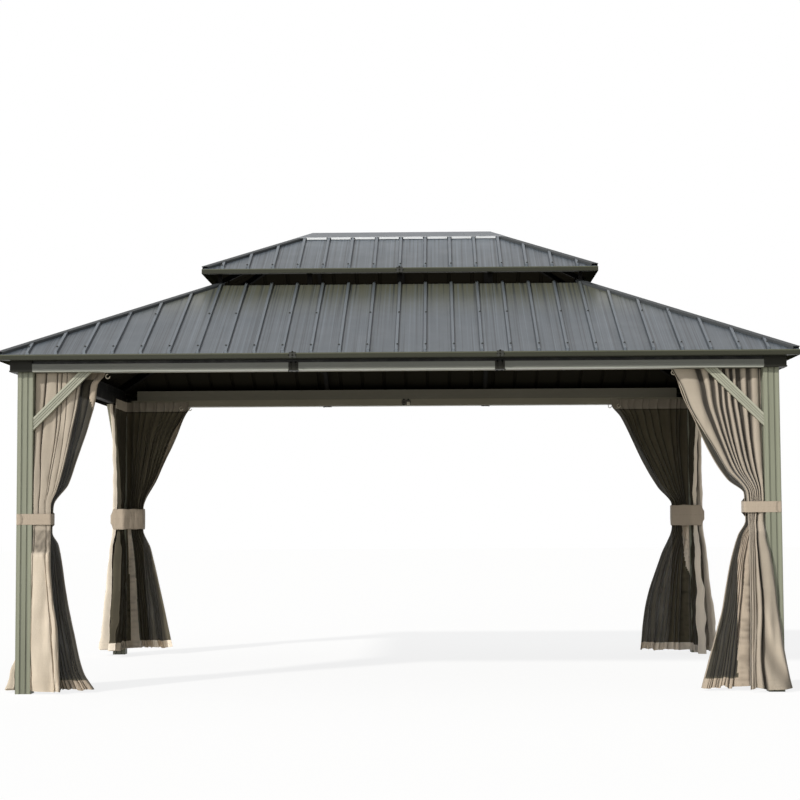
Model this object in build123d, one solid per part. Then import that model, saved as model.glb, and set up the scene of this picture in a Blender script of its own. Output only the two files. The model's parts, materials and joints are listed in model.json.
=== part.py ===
from build123d import *

import os
from math import cos, radians, sqrt, tan

# Hard-top garden gazebo: four fluted posts, a beam ring with knee braces, a two-tier hip roof of
# ribbed steel sheet with a vent gap between the tiers, and curtains with insect netting tied back
# at every post. Millimetres, +Z up. The origin is on the ground under the middle of the roof,
# X runs along the long side and the front faces -Y.

# Driving sizes of the whole
ROOF_LENGTH = 4880.0
ROOF_DEPTH = 3620.0
EAVE_OVERHANG = 110.0  # from a post's outer face to the fascia's face
LOWER_PITCH = 25.5
UPPER_DEPTH = 1400.0
UPPER_PITCH = 25.5
UPPER_LIFT = 145.0  # height of the upper eave above the lower sheet under it
VENT_OVERLAP = 100.0  # how far the upper eave overhangs the vent opening
FIT = 0.2  # clearance between pieces that are seated on each other

# Posts
POST_SIDE = 98.0
POST_HEIGHT = 1960.0
POST_CORNER_RADIUS = 5.0
POST_WALL = 2.5
FLUTE_WIDTH = 11.0
FLUTE_FLOOR = 6.0
FLUTE_DEPTH = 3.5
FLUTE_SPACING = 36.0

# Corner blocks and beams
BLOCK_LIP = 39.0  # how far blocks and beams stand outside the posts
BLOCK_FOOT_PROUD = 3.0
BLOCK_FOOT_HEIGHT = 8.0
BEAM_WIDTH = 80.0
BEAM_HEIGHT = 67.0
BEAM_FACE = 47.0  # height of the proud part of the beam's outer face
BEAM_RECESS = 14.0
BEAM_WALL = 2.5
BEAM_GROOVE_HEIGHT = 4.0
BEAM_GROOVE_DEPTH = 1.5
BEAM_GROOVE_SHARE = 0.58
SLEEVE_LENGTH = 60.0
SLEEVE_SHEET = 3.0

# Knee braces
BRACE_LEG = 355.0
BRACE_WIDTH = 55.0
BRACE_THICKNESS = 30.0
BRACE_SETBACK = 5.0  # behind the post's outer face
BRACE_WALL = 4.5
BRACE_GROOVES = 3
BRACE_GROOVE_WIDTH = 5.0
BRACE_GROOVE_DEPTH = 2.5
BRACE_GROOVE_SPACING = 12.5

# Double curtain track
RAIL_WIDTH = 50.0
RAIL_HEIGHT = 50.0
RAIL_WALL = 2.0
RAIL_SLOT = 8.0
JOINER_LENGTH = 70.0
JOINER_HEIGHT = 42.0
JOINER_SHEET = 3.0

# Roof sheet, fascia and caps
SHEET = 1.0
SHEET_SETBACK = 3.0
HIP_GAP = 2.0
RIB_HEIGHT = 15.0
RIB_BASE = 27.0
RIB_CREST = 17.0
LOWER_RIB_PITCH = 173.0
UPPER_RIB_PITCH = 170.0
FASCIA_SHEET = 1.5
LOWER_FASCIA_HEIGHT = 31.0
UPPER_FASCIA_HEIGHT = 30.0
FASCIA_LAP = 30.0  # how far the lower fascia's soffit lies on the beam
FASCIA_TOP_FLANGE = 40.0
UPPER_SOFFIT = 40.0
CLIP_LENGTH = 42.0
CLIP_SHEET = 2.0
CLIP_RISE = 6.0
CAP_SHEET = 1.2
HIP_CAP_REACH = 45.0
HIP_LIP_GAP = 1.5  # between a hip cap's turned-down edge and the sheet
RIDGE_CAP_REACH = 105.0
RIDGE_CAP_LIP = 15.0
RIB_NOTCH_CLEARANCE = 2.0

# Roof frame
RAFTER_WIDTH = 30.0
RAFTER_DEPTH = 60.0
RAFTER_HEEL_GAP = 4.0
VENT_FRAME_WIDTH = 40.0
VENT_FRAME_HEIGHT = 50.0
VENT_FRAME_WALL = 2.0
STRUT_WIDTH = 35.0
STRUT_SHEET = 8.0
CORNER_STRUT = 25.0
UPPER_RAFTER_WIDTH = 25.0
UPPER_RAFTER_DEPTH = 35.0
RIDGE_BEAM_WIDTH = 30.0
RIDGE_BEAM_HEIGHT = 40.0
RIDGE_RAFTER_INSET = 20.0  # how far the end rafters stand inside the ridge's ends

# Curtains and netting
HANG_GAP = 0.3
CURTAIN_INSET = 4.0  # from the post's inner face
CURTAIN_FOLD = 32.0  # depth of the hanging folds
NETTING_FOLD = 26.0
CLOTH_GAP = 3.0
GATHER_WIDTH = 108.0
CURTAIN_SKIRT = 180.0
NETTING_SKIRT = 355.0
NETTING_SKIRT_INSET = 18.0  # from the post's inner face to a net's hem
FRONT_SKIRT_REACH = 270.0  # width of the hem that falls in front of its post
SKIRT_FOLD = 95.0
HEM_CLEARANCE = 12.0
CLOTH_BEVEL = 9.0
DRAPE_MIDDLE_SHARE = 0.5  # height of the middle section between tie and rail
DRAPE_WIDTH_SHARE = 0.6  # how much of the extra width is left there
CURTAIN_FLARE_SHARE = 0.5  # of the skirt's folds that lies outside the tied panel
NETTING_FLARE_SHARE = 0.15
TIE_WIDE = 165.0
TIE_NARROW = 67.0
TIE_SHEET = 2.0
TIE_TAPER_START_SHARE = 0.35
TIE_TAPER_END_SHARE = 0.72
CURTAIN_SPREADS = {  # width that each gathered curtain takes on its track
    "front_left": 290.0,
    "front_right": 555.0,
    "back_left": 516.0,
    "back_right": 570.0,
}
NETTING_SPREADS = {
    "front_left": 375.0,
    "front_right": 520.0,
    "back_left": 490.0,
    "back_right": 608.0,
}
SIDE_SPREAD = 480.0
SIDE_FLARES = {  # how far the end curtains' hems swing out past their posts
    "front_left": 60.0,
    "front_right": 0.0,
    "back_left": 95.0,
    "back_right": 95.0,
}
TIE_HEIGHTS = {
    "front_left": 1059.0,
    "front_right": 1112.0,
    "back_left": 1067.0,
    "back_right": 1075.0,
}

# Places that follow from the sizes above
POST_X = ROOF_LENGTH / 2 - EAVE_OVERHANG  # outer faces of the posts
POST_Y = ROOF_DEPTH / 2 - EAVE_OVERHANG
BEAM_TOP = POST_HEIGHT + BEAM_HEIGHT
LOWER_EAVE = BEAM_TOP + FIT + LOWER_FASCIA_HEIGHT
RIDGE_HALF = (ROOF_LENGTH - ROOF_DEPTH) / 2
UPPER_LENGTH = UPPER_DEPTH + 2 * RIDGE_HALF
UPPER_EAVE = LOWER_EAVE + (ROOF_DEPTH - UPPER_DEPTH) / 2 * tan(radians(LOWER_PITCH)) + UPPER_LIFT
LOWER_RUN = (ROOF_DEPTH - UPPER_DEPTH) / 2 + VENT_OVERLAP  # plan width of the lower slopes
TALL = 2 * UPPER_EAVE  # reach of the vertical prisms that trim the slopes
CAP_LIFT = SHEET + RIB_HEIGHT + FIT
SIDES = {"front": 0, "right": 90, "back": 180, "left": 270}
CORNERS = {"front_left": (-1, -1), "front_right": (1, -1), "back_left": (-1, 1), "back_right": (1, 1)}


class Tier:
    """One hip roof: its eave rectangle, the height of its eave, its pitch and its ribs."""

    def __init__(self, length, depth, eave, pitch, run, rib_pitch):
        self.half_length = length / 2
        self.half_depth = depth / 2
        self.eave = eave
        self.slope = tan(radians(pitch))
        self.lean = cos(radians(pitch))
        self.pitch = pitch
        self.run = run
        self.rib_pitch = rib_pitch

    def reach(self, side):
        """Distance of that side's eave from the middle, and half of the eave's length."""
        if side in ("front", "back"):
            return self.half_depth, self.half_length
        return self.half_length, self.half_depth

    def under(self, run):
        """Height of what is seated under the sheet, at a plan distance from the eave."""
        return self.eave + run * self.slope - FIT / self.lean

    def ribs(self, side):
        half = self.reach(side)[1]
        count = int((half - RIB_BASE) / self.rib_pitch)
        return [self.rib_pitch * k for k in range(-count, count + 1)]


LOWER = Tier(ROOF_LENGTH, ROOF_DEPTH, LOWER_EAVE, LOWER_PITCH, LOWER_RUN, LOWER_RIB_PITCH)
UPPER = Tier(UPPER_LENGTH, UPPER_DEPTH, UPPER_EAVE, UPPER_PITCH, UPPER_DEPTH / 2, UPPER_RIB_PITCH)


# Helpers: each piece of a side is drawn as if it were the front, then turned to its side

def turned(shape, side):
    return shape.rotate(Axis.Z, SIDES[side])


def block(x, y, z):
    """A box from three (low, high) pairs."""
    low = (x[0], y[0], z[0])
    size = (x[1] - x[0], y[1] - y[0], z[1] - z[0])
    return Pos(*low) * Box(*size, align=(Align.MIN, Align.MIN, Align.MIN))


def prism(points):
    """A tall vertical prism on a plan outline."""
    return extrude(make_face(Polyline(*points, close=True)), TALL)


def along_x(points, low, high, holes=()):
    """A bar along X with an outline in (y, z), and closed outlines cut out of it."""
    face = make_face(Polyline(*points, close=True))
    for hole in holes:
        face -= make_face(Polyline(*hole, close=True))
    section = Plane(origin=(low, 0, 0), x_dir=(0, 1, 0), z_dir=(1, 0, 0))
    return extrude(section * face, high - low)


def rectangle(low_y, high_y, low_z, high_z):
    return [(low_y, low_z), (high_y, low_z), (high_y, high_z), (low_y, high_z)]


def wedge(tier, side, start, stop, gap=0.0):
    """Prism over the part of one slope between two plan distances from its eave."""
    out, half = tier.reach(side)
    stop = min(stop, half - gap)
    wide, narrow = half - start - gap, half - stop - gap
    points = [(-wide, start - out), (wide, start - out), (narrow, stop - out)]
    if narrow > FIT:
        points.append((-narrow, stop - out))
    return prism(points)


def layer(tier, side, low, high):
    """Flat slab over one slope between two heights measured square to the sheet."""
    out = tier.reach(side)[0]
    lower_edge = Plane(origin=(0, -out, tier.eave), x_dir=(1, 0, 0), z_dir=(0, 0, 1))
    slope = lower_edge.rotated((tier.pitch, 0, 0))
    length = 2 * tier.half_length
    return slope * block((-length, length), (-length, length), (low, high))


def parted(shape, places):
    """Splits a bar along X into lengths, with a fine gap at each joint."""
    for x in places:
        shape -= block((x - FIT / 2, x + FIT / 2), (-TALL, TALL), (-TALL, TALL))
    return shape


def joined(shapes):
    """Several solids that don't touch, as one node."""
    return Compound(children=[solid for shape in shapes for solid in shape.solids()])


# Posts, blocks and beams

def post(corner):
    """Extruded square post with two shallow flutes down each face."""
    sx, sy = CORNERS[corner]
    section = RectangleRounded(POST_SIDE, POST_SIDE, POST_CORNER_RADIUS)
    for quarter in range(4):
        for place in (-FLUTE_SPACING / 2, FLUTE_SPACING / 2):
            mouth, floor = FLUTE_WIDTH / 2, FLUTE_FLOOR / 2
            face = POST_SIDE / 2
            points = [
                (place - mouth, face),
                (place - floor, face - FLUTE_DEPTH),
                (place + floor, face - FLUTE_DEPTH),
                (place + mouth, face),
            ]
            flute = make_face(Polyline(*points, close=True))
            section -= Rot(0, 0, quarter * 90) * flute
    hollow = POST_SIDE - 2 * (FLUTE_DEPTH + POST_WALL)
    section -= Rectangle(hollow, hollow)
    middle = POST_SIDE / 2
    return Pos(sx * (POST_X - middle), sy * (POST_Y - middle), 0) * extrude(section, POST_HEIGHT)


def corner_block(corner):
    """Casting on a post's head that two beams run into, with a proud foot on its outer faces."""
    sx, sy = CORNERS[corner]
    inner_x, inner_y = POST_X - POST_SIDE, POST_Y - POST_SIDE
    outer_x, outer_y = POST_X + BLOCK_LIP, POST_Y + BLOCK_LIP
    body = block((inner_x, outer_x), (inner_y, outer_y), (POST_HEIGHT, BEAM_TOP))
    foot = block(
        (inner_x, outer_x + BLOCK_FOOT_PROUD),
        (inner_y, outer_y + BLOCK_FOOT_PROUD),
        (POST_HEIGHT, POST_HEIGHT + BLOCK_FOOT_HEIGHT),
    )
    casting = body + foot
    if sx < 0:
        casting = casting.mirror(Plane.YZ)
    if sy < 0:
        casting = casting.mirror(Plane.XZ)
    return casting


def side_places(side):
    """Post's outer face, post's inner face along the side, and the joints of one side's bars."""
    if side in ("front", "back"):
        return POST_Y, POST_X - POST_SIDE, [-RIDGE_HALF, RIDGE_HALF]
    return POST_X, POST_Y - POST_SIDE, [0.0]


def beam(side):
    """Hollow beam with a proud lower face, a groove along it and a recessed top."""
    post_face, end, joints = side_places(side)
    face = -(post_face + BLOCK_LIP)
    back = face + BEAM_WIDTH
    step = face + BEAM_RECESS
    shoulder = POST_HEIGHT + BEAM_FACE
    groove = POST_HEIGHT + BEAM_FACE * BEAM_GROOVE_SHARE
    outline = [
        (face, POST_HEIGHT),
        (back, POST_HEIGHT),
        (back, BEAM_TOP),
        (step, BEAM_TOP),
        (step, shoulder),
        (face, shoulder),
        (face, groove + BEAM_GROOVE_HEIGHT),
        (face + BEAM_GROOVE_DEPTH, groove + BEAM_GROOVE_HEIGHT),
        (face + BEAM_GROOVE_DEPTH, groove),
        (face, groove),
    ]
    front_wall = face + BEAM_GROOVE_DEPTH + BEAM_WALL
    hollow = [
        (front_wall, POST_HEIGHT + BEAM_WALL),
        (back - BEAM_WALL, POST_HEIGHT + BEAM_WALL),
        (back - BEAM_WALL, BEAM_TOP - BEAM_WALL),
        (step + BEAM_WALL, BEAM_TOP - BEAM_WALL),
        (step + BEAM_WALL, shoulder - BEAM_WALL),
        (front_wall, shoulder - BEAM_WALL),
    ]
    return turned(parted(along_x(outline, -end, end, [hollow]), joints), side)


def beam_sleeves():
    """Angle plates that cover the joints of the beams, on the outer face and underneath."""
    sleeves = []
    for side in SIDES:
        post_face, _, joints = side_places(side)
        face = -(post_face + BLOCK_LIP) - FIT
        low, high = POST_HEIGHT - FIT, POST_HEIGHT + BEAM_FACE
        outline = [
            (face - SLEEVE_SHEET, low - SLEEVE_SHEET),
            (face + BEAM_WIDTH, low - SLEEVE_SHEET),
            (face + BEAM_WIDTH, low),
            (face, low),
            (face, high),
            (face - SLEEVE_SHEET, high),
        ]
        for x in joints:
            sleeve = along_x(outline, x - SLEEVE_LENGTH / 2, x + SLEEVE_LENGTH / 2)
            sleeves.append(turned(sleeve, side))
    return joined(sleeves)


def braces(side):
    """Two grooved knee braces at 45 degrees, from the posts' inner faces to the beam."""
    post_face, end, _ = side_places(side)
    half_width, half_depth = BRACE_WIDTH / 2, BRACE_THICKNESS / 2
    section = Rectangle(BRACE_WIDTH, BRACE_THICKNESS)
    section -= Rectangle(BRACE_WIDTH - 2 * BRACE_WALL, BRACE_THICKNESS - 2 * BRACE_WALL)
    first = -BRACE_GROOVE_SPACING * (BRACE_GROOVES - 1) / 2
    for k in range(BRACE_GROOVES):
        place = first + k * BRACE_GROOVE_SPACING
        groove = Rectangle(BRACE_GROOVE_WIDTH, BRACE_GROOVE_DEPTH)
        section -= Pos(place, -half_depth + BRACE_GROOVE_DEPTH / 2) * groove
    # The lower edge of the bar runs from the post's face to the beam's underside.
    start = Plane(origin=(-end, -post_face, POST_HEIGHT - BRACE_LEG), x_dir=(1, 0, -1), z_dir=(1, 0, 1))
    middle = Pos(-half_width, BRACE_SETBACK + half_depth) * section
    bar = extrude(start * middle, BRACE_LEG * 2, both=True)
    room = block((-end, end), (-post_face, 0), (0, POST_HEIGHT))
    left = bar & room
    return turned(joined([left, left.mirror(Plane.YZ)]), side)


# Curtain tracks

def curtain_rails():
    """Double track inside each beam, with two slots that open downwards."""
    rails = []
    for side in SIDES:
        post_face, end, _ = side_places(side)
        low_y = -(post_face + BLOCK_LIP) + BEAM_WIDTH + FIT
        high_z = POST_HEIGHT + RAIL_HEIGHT
        outline = rectangle(low_y, low_y + RAIL_WIDTH, POST_HEIGHT, high_z)
        channel = (RAIL_WIDTH - 3 * RAIL_WALL) / 2
        holes = []
        for k in range(2):
            near = low_y + RAIL_WALL + k * (channel + RAIL_WALL)
            slot = near + (channel - RAIL_SLOT) / 2
            holes.append([
                (near, POST_HEIGHT + RAIL_WALL),
                (slot, POST_HEIGHT + RAIL_WALL),
                (slot, POST_HEIGHT - RAIL_WALL),
                (slot + RAIL_SLOT, POST_HEIGHT - RAIL_WALL),
                (slot + RAIL_SLOT, POST_HEIGHT + RAIL_WALL),
                (near + channel, POST_HEIGHT + RAIL_WALL),
                (near + channel, high_z - RAIL_WALL),
                (near, high_z - RAIL_WALL),
            ])
        rails.append(turned(along_x(outline, FIT - end, end - FIT, holes), side))
    return joined(rails)


def rail_joiners():
    """Plates over the middle joint of each track, on its room side."""
    plates = []
    for side in SIDES:
        post_face = side_places(side)[0]
        low_y = -(post_face + BLOCK_LIP) + BEAM_WIDTH + RAIL_WIDTH + 2 * FIT
        low_z = POST_HEIGHT + (RAIL_HEIGHT - JOINER_HEIGHT) / 2
        half = JOINER_LENGTH / 2
        plate = block((-half, half), (low_y, low_y + JOINER_SHEET), (low_z, low_z + JOINER_HEIGHT))
        plates.append(turned(plate, side))
    return joined(plates)


# Roof skin

def rib_outline(x, height, clearance=0.0):
    """Outline of a rib's hollow across the slope, from its left foot to its right foot."""
    foot, crest = RIB_BASE / 2 + clearance, RIB_CREST / 2 + clearance
    return [(x - foot, 0), (x - crest, height), (x + crest, height), (x + foot, 0)]


def up_slope(tier, side, points):
    """A bar up one slope with an outline in (x, height over the sheet's underside)."""
    out = tier.reach(side)[0]
    direction = Vector(0, tier.lean, tier.slope * tier.lean)
    section = Plane(origin=(0, -out, tier.eave), x_dir=(-1, 0, 0), z_dir=direction)
    mirrored = [(-x, height) for x, height in points]
    return extrude(section * make_face(Polyline(*mirrored, close=True)), out / tier.lean)


def roof_sheet(tier, side):
    """Ribbed steel sheet of one slope, trimmed all round, its ribs closed at the eave."""
    half = tier.reach(side)[1]
    line = [(-half, 0)]
    for x in tier.ribs(side):
        line += rib_outline(x, RIB_HEIGHT)
    line.append((half, 0))
    raised = [(x, n + SHEET) for x, n in reversed(line)]
    sheet = up_slope(tier, side, line + raised) & wedge(tier, side, SHEET_SETBACK, tier.run, HIP_GAP)
    edge = wedge(tier, side, SHEET_SETBACK, SHEET_SETBACK + SHEET, HIP_GAP)
    for x in tier.ribs(side):
        sheet += up_slope(tier, side, rib_outline(x, RIB_HEIGHT)) & edge
    return turned(sheet, side)


def fascia(tier, side, height, soffit, joints):
    """Eave trim with a flange under the sheet and a soffit flange, mitred at the corners."""
    out, half = tier.reach(side)
    face, bottom = -out, tier.eave - height
    fold = FASCIA_SHEET / tier.lean
    inside = face + FASCIA_SHEET
    flange = face + FASCIA_TOP_FLANGE
    outline = [
        (face, bottom),
        (face + soffit, bottom),
        (face + soffit, bottom + FASCIA_SHEET),
        (inside, bottom + FASCIA_SHEET),
        (inside, tier.under(FASCIA_SHEET) - fold),
        (flange, tier.under(FASCIA_TOP_FLANGE) - fold),
        (flange, tier.under(FASCIA_TOP_FLANGE)),
        (face, tier.under(0)),
    ]
    bar = along_x(outline, -half, half) & wedge(tier, side, 0, soffit + FASCIA_TOP_FLANGE, FIT)
    return turned(parted(bar, joints), side)


def fascia_joints(side):
    """Joints of the lower and the upper fascia on one side."""
    if side in ("front", "back"):
        return [-RIDGE_HALF, RIDGE_HALF], [0.0]
    return [0.0], []


def fascia_clips():
    """Cover plates over the fascia's joints."""
    clips = []
    for side in SIDES:
        lower, upper = fascia_joints(side)
        for tier, height, joints in (
            (LOWER, LOWER_FASCIA_HEIGHT, lower),
            (UPPER, UPPER_FASCIA_HEIGHT, upper),
        ):
            face = -tier.reach(side)[0] - FIT
            for x in joints:
                clip = block(
                    (x - CLIP_LENGTH / 2, x + CLIP_LENGTH / 2),
                    (face - CLIP_SHEET, face),
                    (tier.eave - height, tier.eave + CLIP_RISE),
                )
                clips.append(turned(clip, side))
    return joined(clips)


def hip_strip(tier, side, hand, stop):
    """One flange of a hip cap, on the slope of a side, at its right (1) or left (-1) hip.

    Its inner edge is turned down to the sheet and notched over the ribs.
    """
    out, half = tier.reach(side)

    def strip(inner, outer):
        points = [
            (hand * (half - outer), -out),
            (hand * (half - stop - outer), stop - out),
            (hand * (half - stop - inner), stop - out),
            (hand * (half - inner), -out),
        ]
        return prism(points)

    top = CAP_LIFT + CAP_SHEET
    flange = layer(tier, side, CAP_LIFT, top) & strip(HIP_CAP_REACH, 0)
    folded = HIP_CAP_REACH - CAP_SHEET * sqrt(2)
    lip = layer(tier, side, SHEET + HIP_LIP_GAP, top) & strip(HIP_CAP_REACH, folded)
    for x in tier.ribs(side):
        if hand * x > half - stop - tier.rib_pitch:
            lip -= up_slope(tier, side, rib_outline(x, CAP_LIFT, RIB_NOTCH_CLEARANCE))
    return turned(flange + lip, side)


def hip_caps(tier, stop):
    """Folded strips that cover the four hips, lying on the ribs' crests."""
    order = list(SIDES)
    caps = []
    for side, neighbour in zip(order, order[1:] + order[:1]):
        caps.append(hip_strip(tier, side, 1, stop) + hip_strip(tier, neighbour, -1, stop))
    return joined(caps)


def ridge_cap():
    """Folded cap over the ridge with hipped ends, its long edges turned down between the ribs."""
    low = CAP_LIFT + CAP_SHEET + FIT
    start = UPPER.half_depth - RIDGE_CAP_REACH
    cap = None
    for side in SIDES:
        flange = layer(UPPER, side, low, low + CAP_SHEET) & wedge(UPPER, side, start, UPPER.half_depth)
        cap = turned(flange, side) if cap is None else cap + turned(flange, side)
    top = UPPER.eave + start * UPPER.slope + (low + CAP_SHEET / 2) / UPPER.lean
    half = RIDGE_HALF + RIDGE_CAP_REACH - HIP_CAP_REACH - CAP_SHEET - FIT  # clear of the hip caps
    notch = RIB_BASE / 2 + RIB_NOTCH_CLEARANCE
    edge = -RIDGE_CAP_REACH
    for side in ("front", "back"):
        lip = block((-half, half), (edge, edge + CAP_SHEET), (top - RIDGE_CAP_LIP, top))
        for x in UPPER.ribs(side):
            lip -= block((x - notch, x + notch), (edge, edge + CAP_SHEET), (0, top - CAP_SHEET))
        cap += turned(lip, side)
    return cap


# Roof frame

def rafter(tier, side, x, width, depth, start, stop, heel=None):
    """Bar under the sheet up one slope, with a heel down to the beam where it has one."""
    out = tier.reach(side)[0]
    top = [(stop - out, tier.under(stop)), (start - out, tier.under(start))]
    if heel:
        heel_end, seat = heel
        bottom = [
            (start - out, seat),
            (heel_end - out, seat),
            (heel_end - out, tier.under(heel_end) - depth),
            (stop - out, tier.under(stop) - depth),
        ]
    else:
        bottom = [(start - out, tier.under(start) - depth), (stop - out, tier.under(stop) - depth)]
    return turned(along_x(bottom + top, x - width / 2, x + width / 2), side)


def hip_rafter(tier, width, depth, start, stop, heel=None):
    """Bar under the front right hip. Plan distances are runs from the eave."""
    drop = width / 2 / sqrt(2) * tier.slope

    def top(run):
        return tier.under(run) - drop

    outline = [(stop * sqrt(2), top(stop)), (start * sqrt(2), top(start))]
    if heel:
        heel_end, seat = heel
        outline += [
            (start * sqrt(2), seat),
            (heel_end * sqrt(2), seat),
            (heel_end * sqrt(2), top(heel_end) - depth),
        ]
    else:
        outline.append((start * sqrt(2), top(start) - depth))
    outline.append((stop * sqrt(2), top(stop) - depth))
    diagonal = Plane(
        origin=(tier.half_length, -tier.half_depth, 0), x_dir=(-1, 1, 0), z_dir=(1, 1, 0)
    )
    face = diagonal * make_face(Polyline(*outline, close=True))
    return extrude(face, width / 2, both=True)


def at_four_corners(shape):
    side = shape.mirror(Plane.YZ)
    return joined([shape, side, shape.mirror(Plane.XZ), side.mirror(Plane.XZ)])


HEEL_START = EAVE_OVERHANG - BLOCK_LIP + FASCIA_LAP + RAFTER_HEEL_GAP
HEEL_END = EAVE_OVERHANG - BLOCK_LIP + BEAM_WIDTH
VENT_FACE = LOWER_RUN - VENT_FRAME_WIDTH  # run to the vent frame's outer face
RIDGE_BEAM_END = RIDGE_HALF + UPPER_RAFTER_WIDTH / 2


def lower_rafters():
    """Rafters from the beams up to the vent frame, two on each long side and one on each end."""
    bars = []
    for side in SIDES:
        for x in side_places(side)[2]:
            heel = (HEEL_END, BEAM_TOP + FIT)
            bars.append(
                rafter(LOWER, side, x, RAFTER_WIDTH, RAFTER_DEPTH, HEEL_START, VENT_FACE - FIT, heel)
            )
    return joined(bars)


def vent_outline():
    """Half sizes of the vent frame's outer rectangle."""
    return LOWER.half_length - VENT_FACE, LOWER.half_depth - VENT_FACE


def lower_hip_rafters():
    """Hip rafters from the corner blocks to the vent frame, notched round its corners."""
    start = HEEL_START + RAFTER_WIDTH / 2 * sqrt(2)
    heel_end = EAVE_OVERHANG + POST_SIDE - RAFTER_WIDTH / 2 * sqrt(2)
    bar = hip_rafter(
        LOWER, RAFTER_WIDTH, RAFTER_DEPTH, start, VENT_FACE + RAFTER_WIDTH, (heel_end, BEAM_TOP + FIT)
    )
    half_x, half_y = (half + FIT for half in vent_outline())
    bar -= block((-half_x, half_x), (-half_y, half_y), (0, TALL))
    return at_four_corners(bar)


def vent_frame():
    """Four tubes round the opening at the top of the lower roof."""
    half_x, half_y = vent_outline()
    top = LOWER.under(VENT_FACE)
    bottom = top - VENT_FRAME_HEIGHT
    tubes = []
    for side in SIDES:
        out, end = (half_y, half_x) if side in ("front", "back") else (half_x, half_y)
        if side in ("left", "right"):
            end -= VENT_FRAME_WIDTH + FIT
        outline = rectangle(-out, -out + VENT_FRAME_WIDTH, bottom, top)
        wall = VENT_FRAME_WALL
        hollow = rectangle(
            -out + wall, -out + VENT_FRAME_WIDTH - wall, bottom + wall, top - wall
        )
        tubes.append(turned(along_x(outline, -end, end, [hollow]), side))
    return joined(tubes)


def upper_rafter_places(side):
    if side in ("front", "back"):
        return [RIDGE_RAFTER_INSET - RIDGE_HALF, 0.0, RIDGE_HALF - RIDGE_RAFTER_INSET]
    return [0.0]


def upper_rafters():
    """Rafters from the upper eave to the ridge beam."""
    bars = []
    for side in SIDES:
        end = RIDGE_BEAM_WIDTH / 2 if side in ("front", "back") else RIDGE_BEAM_END
        stop = UPPER.reach(side)[0] - end - FIT
        for x in upper_rafter_places(side):
            start = FASCIA_TOP_FLANGE + FIT
            bars.append(
                rafter(UPPER, side, x, UPPER_RAFTER_WIDTH, UPPER_RAFTER_DEPTH, start, stop)
            )
    return joined(bars)


def upper_hip_rafters():
    """Hip rafters of the upper roof, stopped clear of the rafters that meet at the ridge's ends."""
    half = UPPER_RAFTER_WIDTH / 2
    start = FASCIA_TOP_FLANGE + FIT + half / sqrt(2)
    stop = UPPER.half_depth - half * (1 + 1 / sqrt(2)) - FIT
    return at_four_corners(hip_rafter(UPPER, UPPER_RAFTER_WIDTH, UPPER_RAFTER_DEPTH, start, stop))


def ridge_beam():
    """Bar under the ridge."""
    top = UPPER.under(UPPER.half_depth - RIDGE_BEAM_WIDTH / 2)
    half = RIDGE_BEAM_WIDTH / 2
    return block((-RIDGE_BEAM_END, RIDGE_BEAM_END), (-half, half), (top - RIDGE_BEAM_HEIGHT, top))


def vent_struts():
    """Flat struts on the vent frame's inner faces that carry the upper rafters, and corner struts."""
    half_x, half_y = (half - VENT_FRAME_WIDTH - FIT for half in vent_outline())
    bottom = LOWER.under(VENT_FACE) - VENT_FRAME_HEIGHT
    struts = []
    for side in SIDES:
        out = half_y if side in ("front", "back") else half_x
        run = UPPER.reach(side)[0] - out
        top = UPPER.under(run) - UPPER_RAFTER_DEPTH - FIT
        for x in upper_rafter_places(side):
            strut = block(
                (x - STRUT_WIDTH / 2, x + STRUT_WIDTH / 2), (-out, STRUT_SHEET - out), (bottom, top)
            )
            struts.append(turned(strut, side))
    drop = UPPER_RAFTER_WIDTH / 2 / sqrt(2) * UPPER.slope
    top = UPPER.under(UPPER.half_depth - half_y) - drop - UPPER_RAFTER_DEPTH - FIT
    corner = block((half_x - CORNER_STRUT, half_x), (-half_y, CORNER_STRUT - half_y), (bottom, top))
    return joined([*struts, at_four_corners(corner)])


# Curtains, netting and ties

def panel_section(corner, along, z, near, far, outer, inner):
    """Bevelled outline of a gathered panel at one height. Near and far are measured from the post's
    inner face along the track, outer and inner from the post's outer face into the room."""
    sx, sy = CORNERS[corner]
    if along == "x":
        x = sorted((sx * (POST_X - POST_SIDE - near), sx * (POST_X - POST_SIDE - far)))
        y = sorted((sy * (POST_Y - outer), sy * (POST_Y - inner)))
    else:
        x = sorted((sx * (POST_X - outer), sx * (POST_X - inner)))
        y = sorted((sy * (POST_Y - POST_SIDE - near), sy * (POST_Y - POST_SIDE - far)))
    (low_x, high_x), (low_y, high_y), cut = x, y, CLOTH_BEVEL
    points = [
        (low_x + cut, low_y), (high_x - cut, low_y), (high_x, low_y + cut), (high_x, high_y - cut),
        (high_x - cut, high_y), (low_x + cut, high_y), (low_x, high_y - cut), (low_x, low_y + cut),
    ]
    return Pos(0, 0, z) * make_face(Polyline(*points, close=True))


def panel(corner, along, spread, layers, skirt):
    """Gathered panel: wide on its track, drawn in at the tie, spread again down to its hem.
    Layers gives the outer and inner faces on the track and at the tie, skirt those at the hem."""
    (outer, inner), (tied_outer, tied_inner) = layers
    tie = TIE_HEIGHTS[corner]
    top = POST_HEIGHT - HANG_GAP
    middle = tie + (top - tie) * DRAPE_MIDDLE_SHARE
    waist = GATHER_WIDTH + (spread - GATHER_WIDTH) * DRAPE_WIDTH_SHARE
    near, gathered = CURTAIN_INSET, CURTAIN_INSET + GATHER_WIDTH
    brace_foot = POST_HEIGHT - BRACE_LEG
    sections = [
        (top, near, near + spread, outer, inner),
        (max(middle, brace_foot), near, near + waist, outer, inner),
        (tie + TIE_WIDE / 2, near, gathered, tied_outer, tied_inner),
        (tie - TIE_WIDE / 2, near, gathered, tied_outer, tied_inner),
        *skirt,
    ]
    return loft([panel_section(corner, along, *s) for s in sections], ruled=True)


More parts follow.
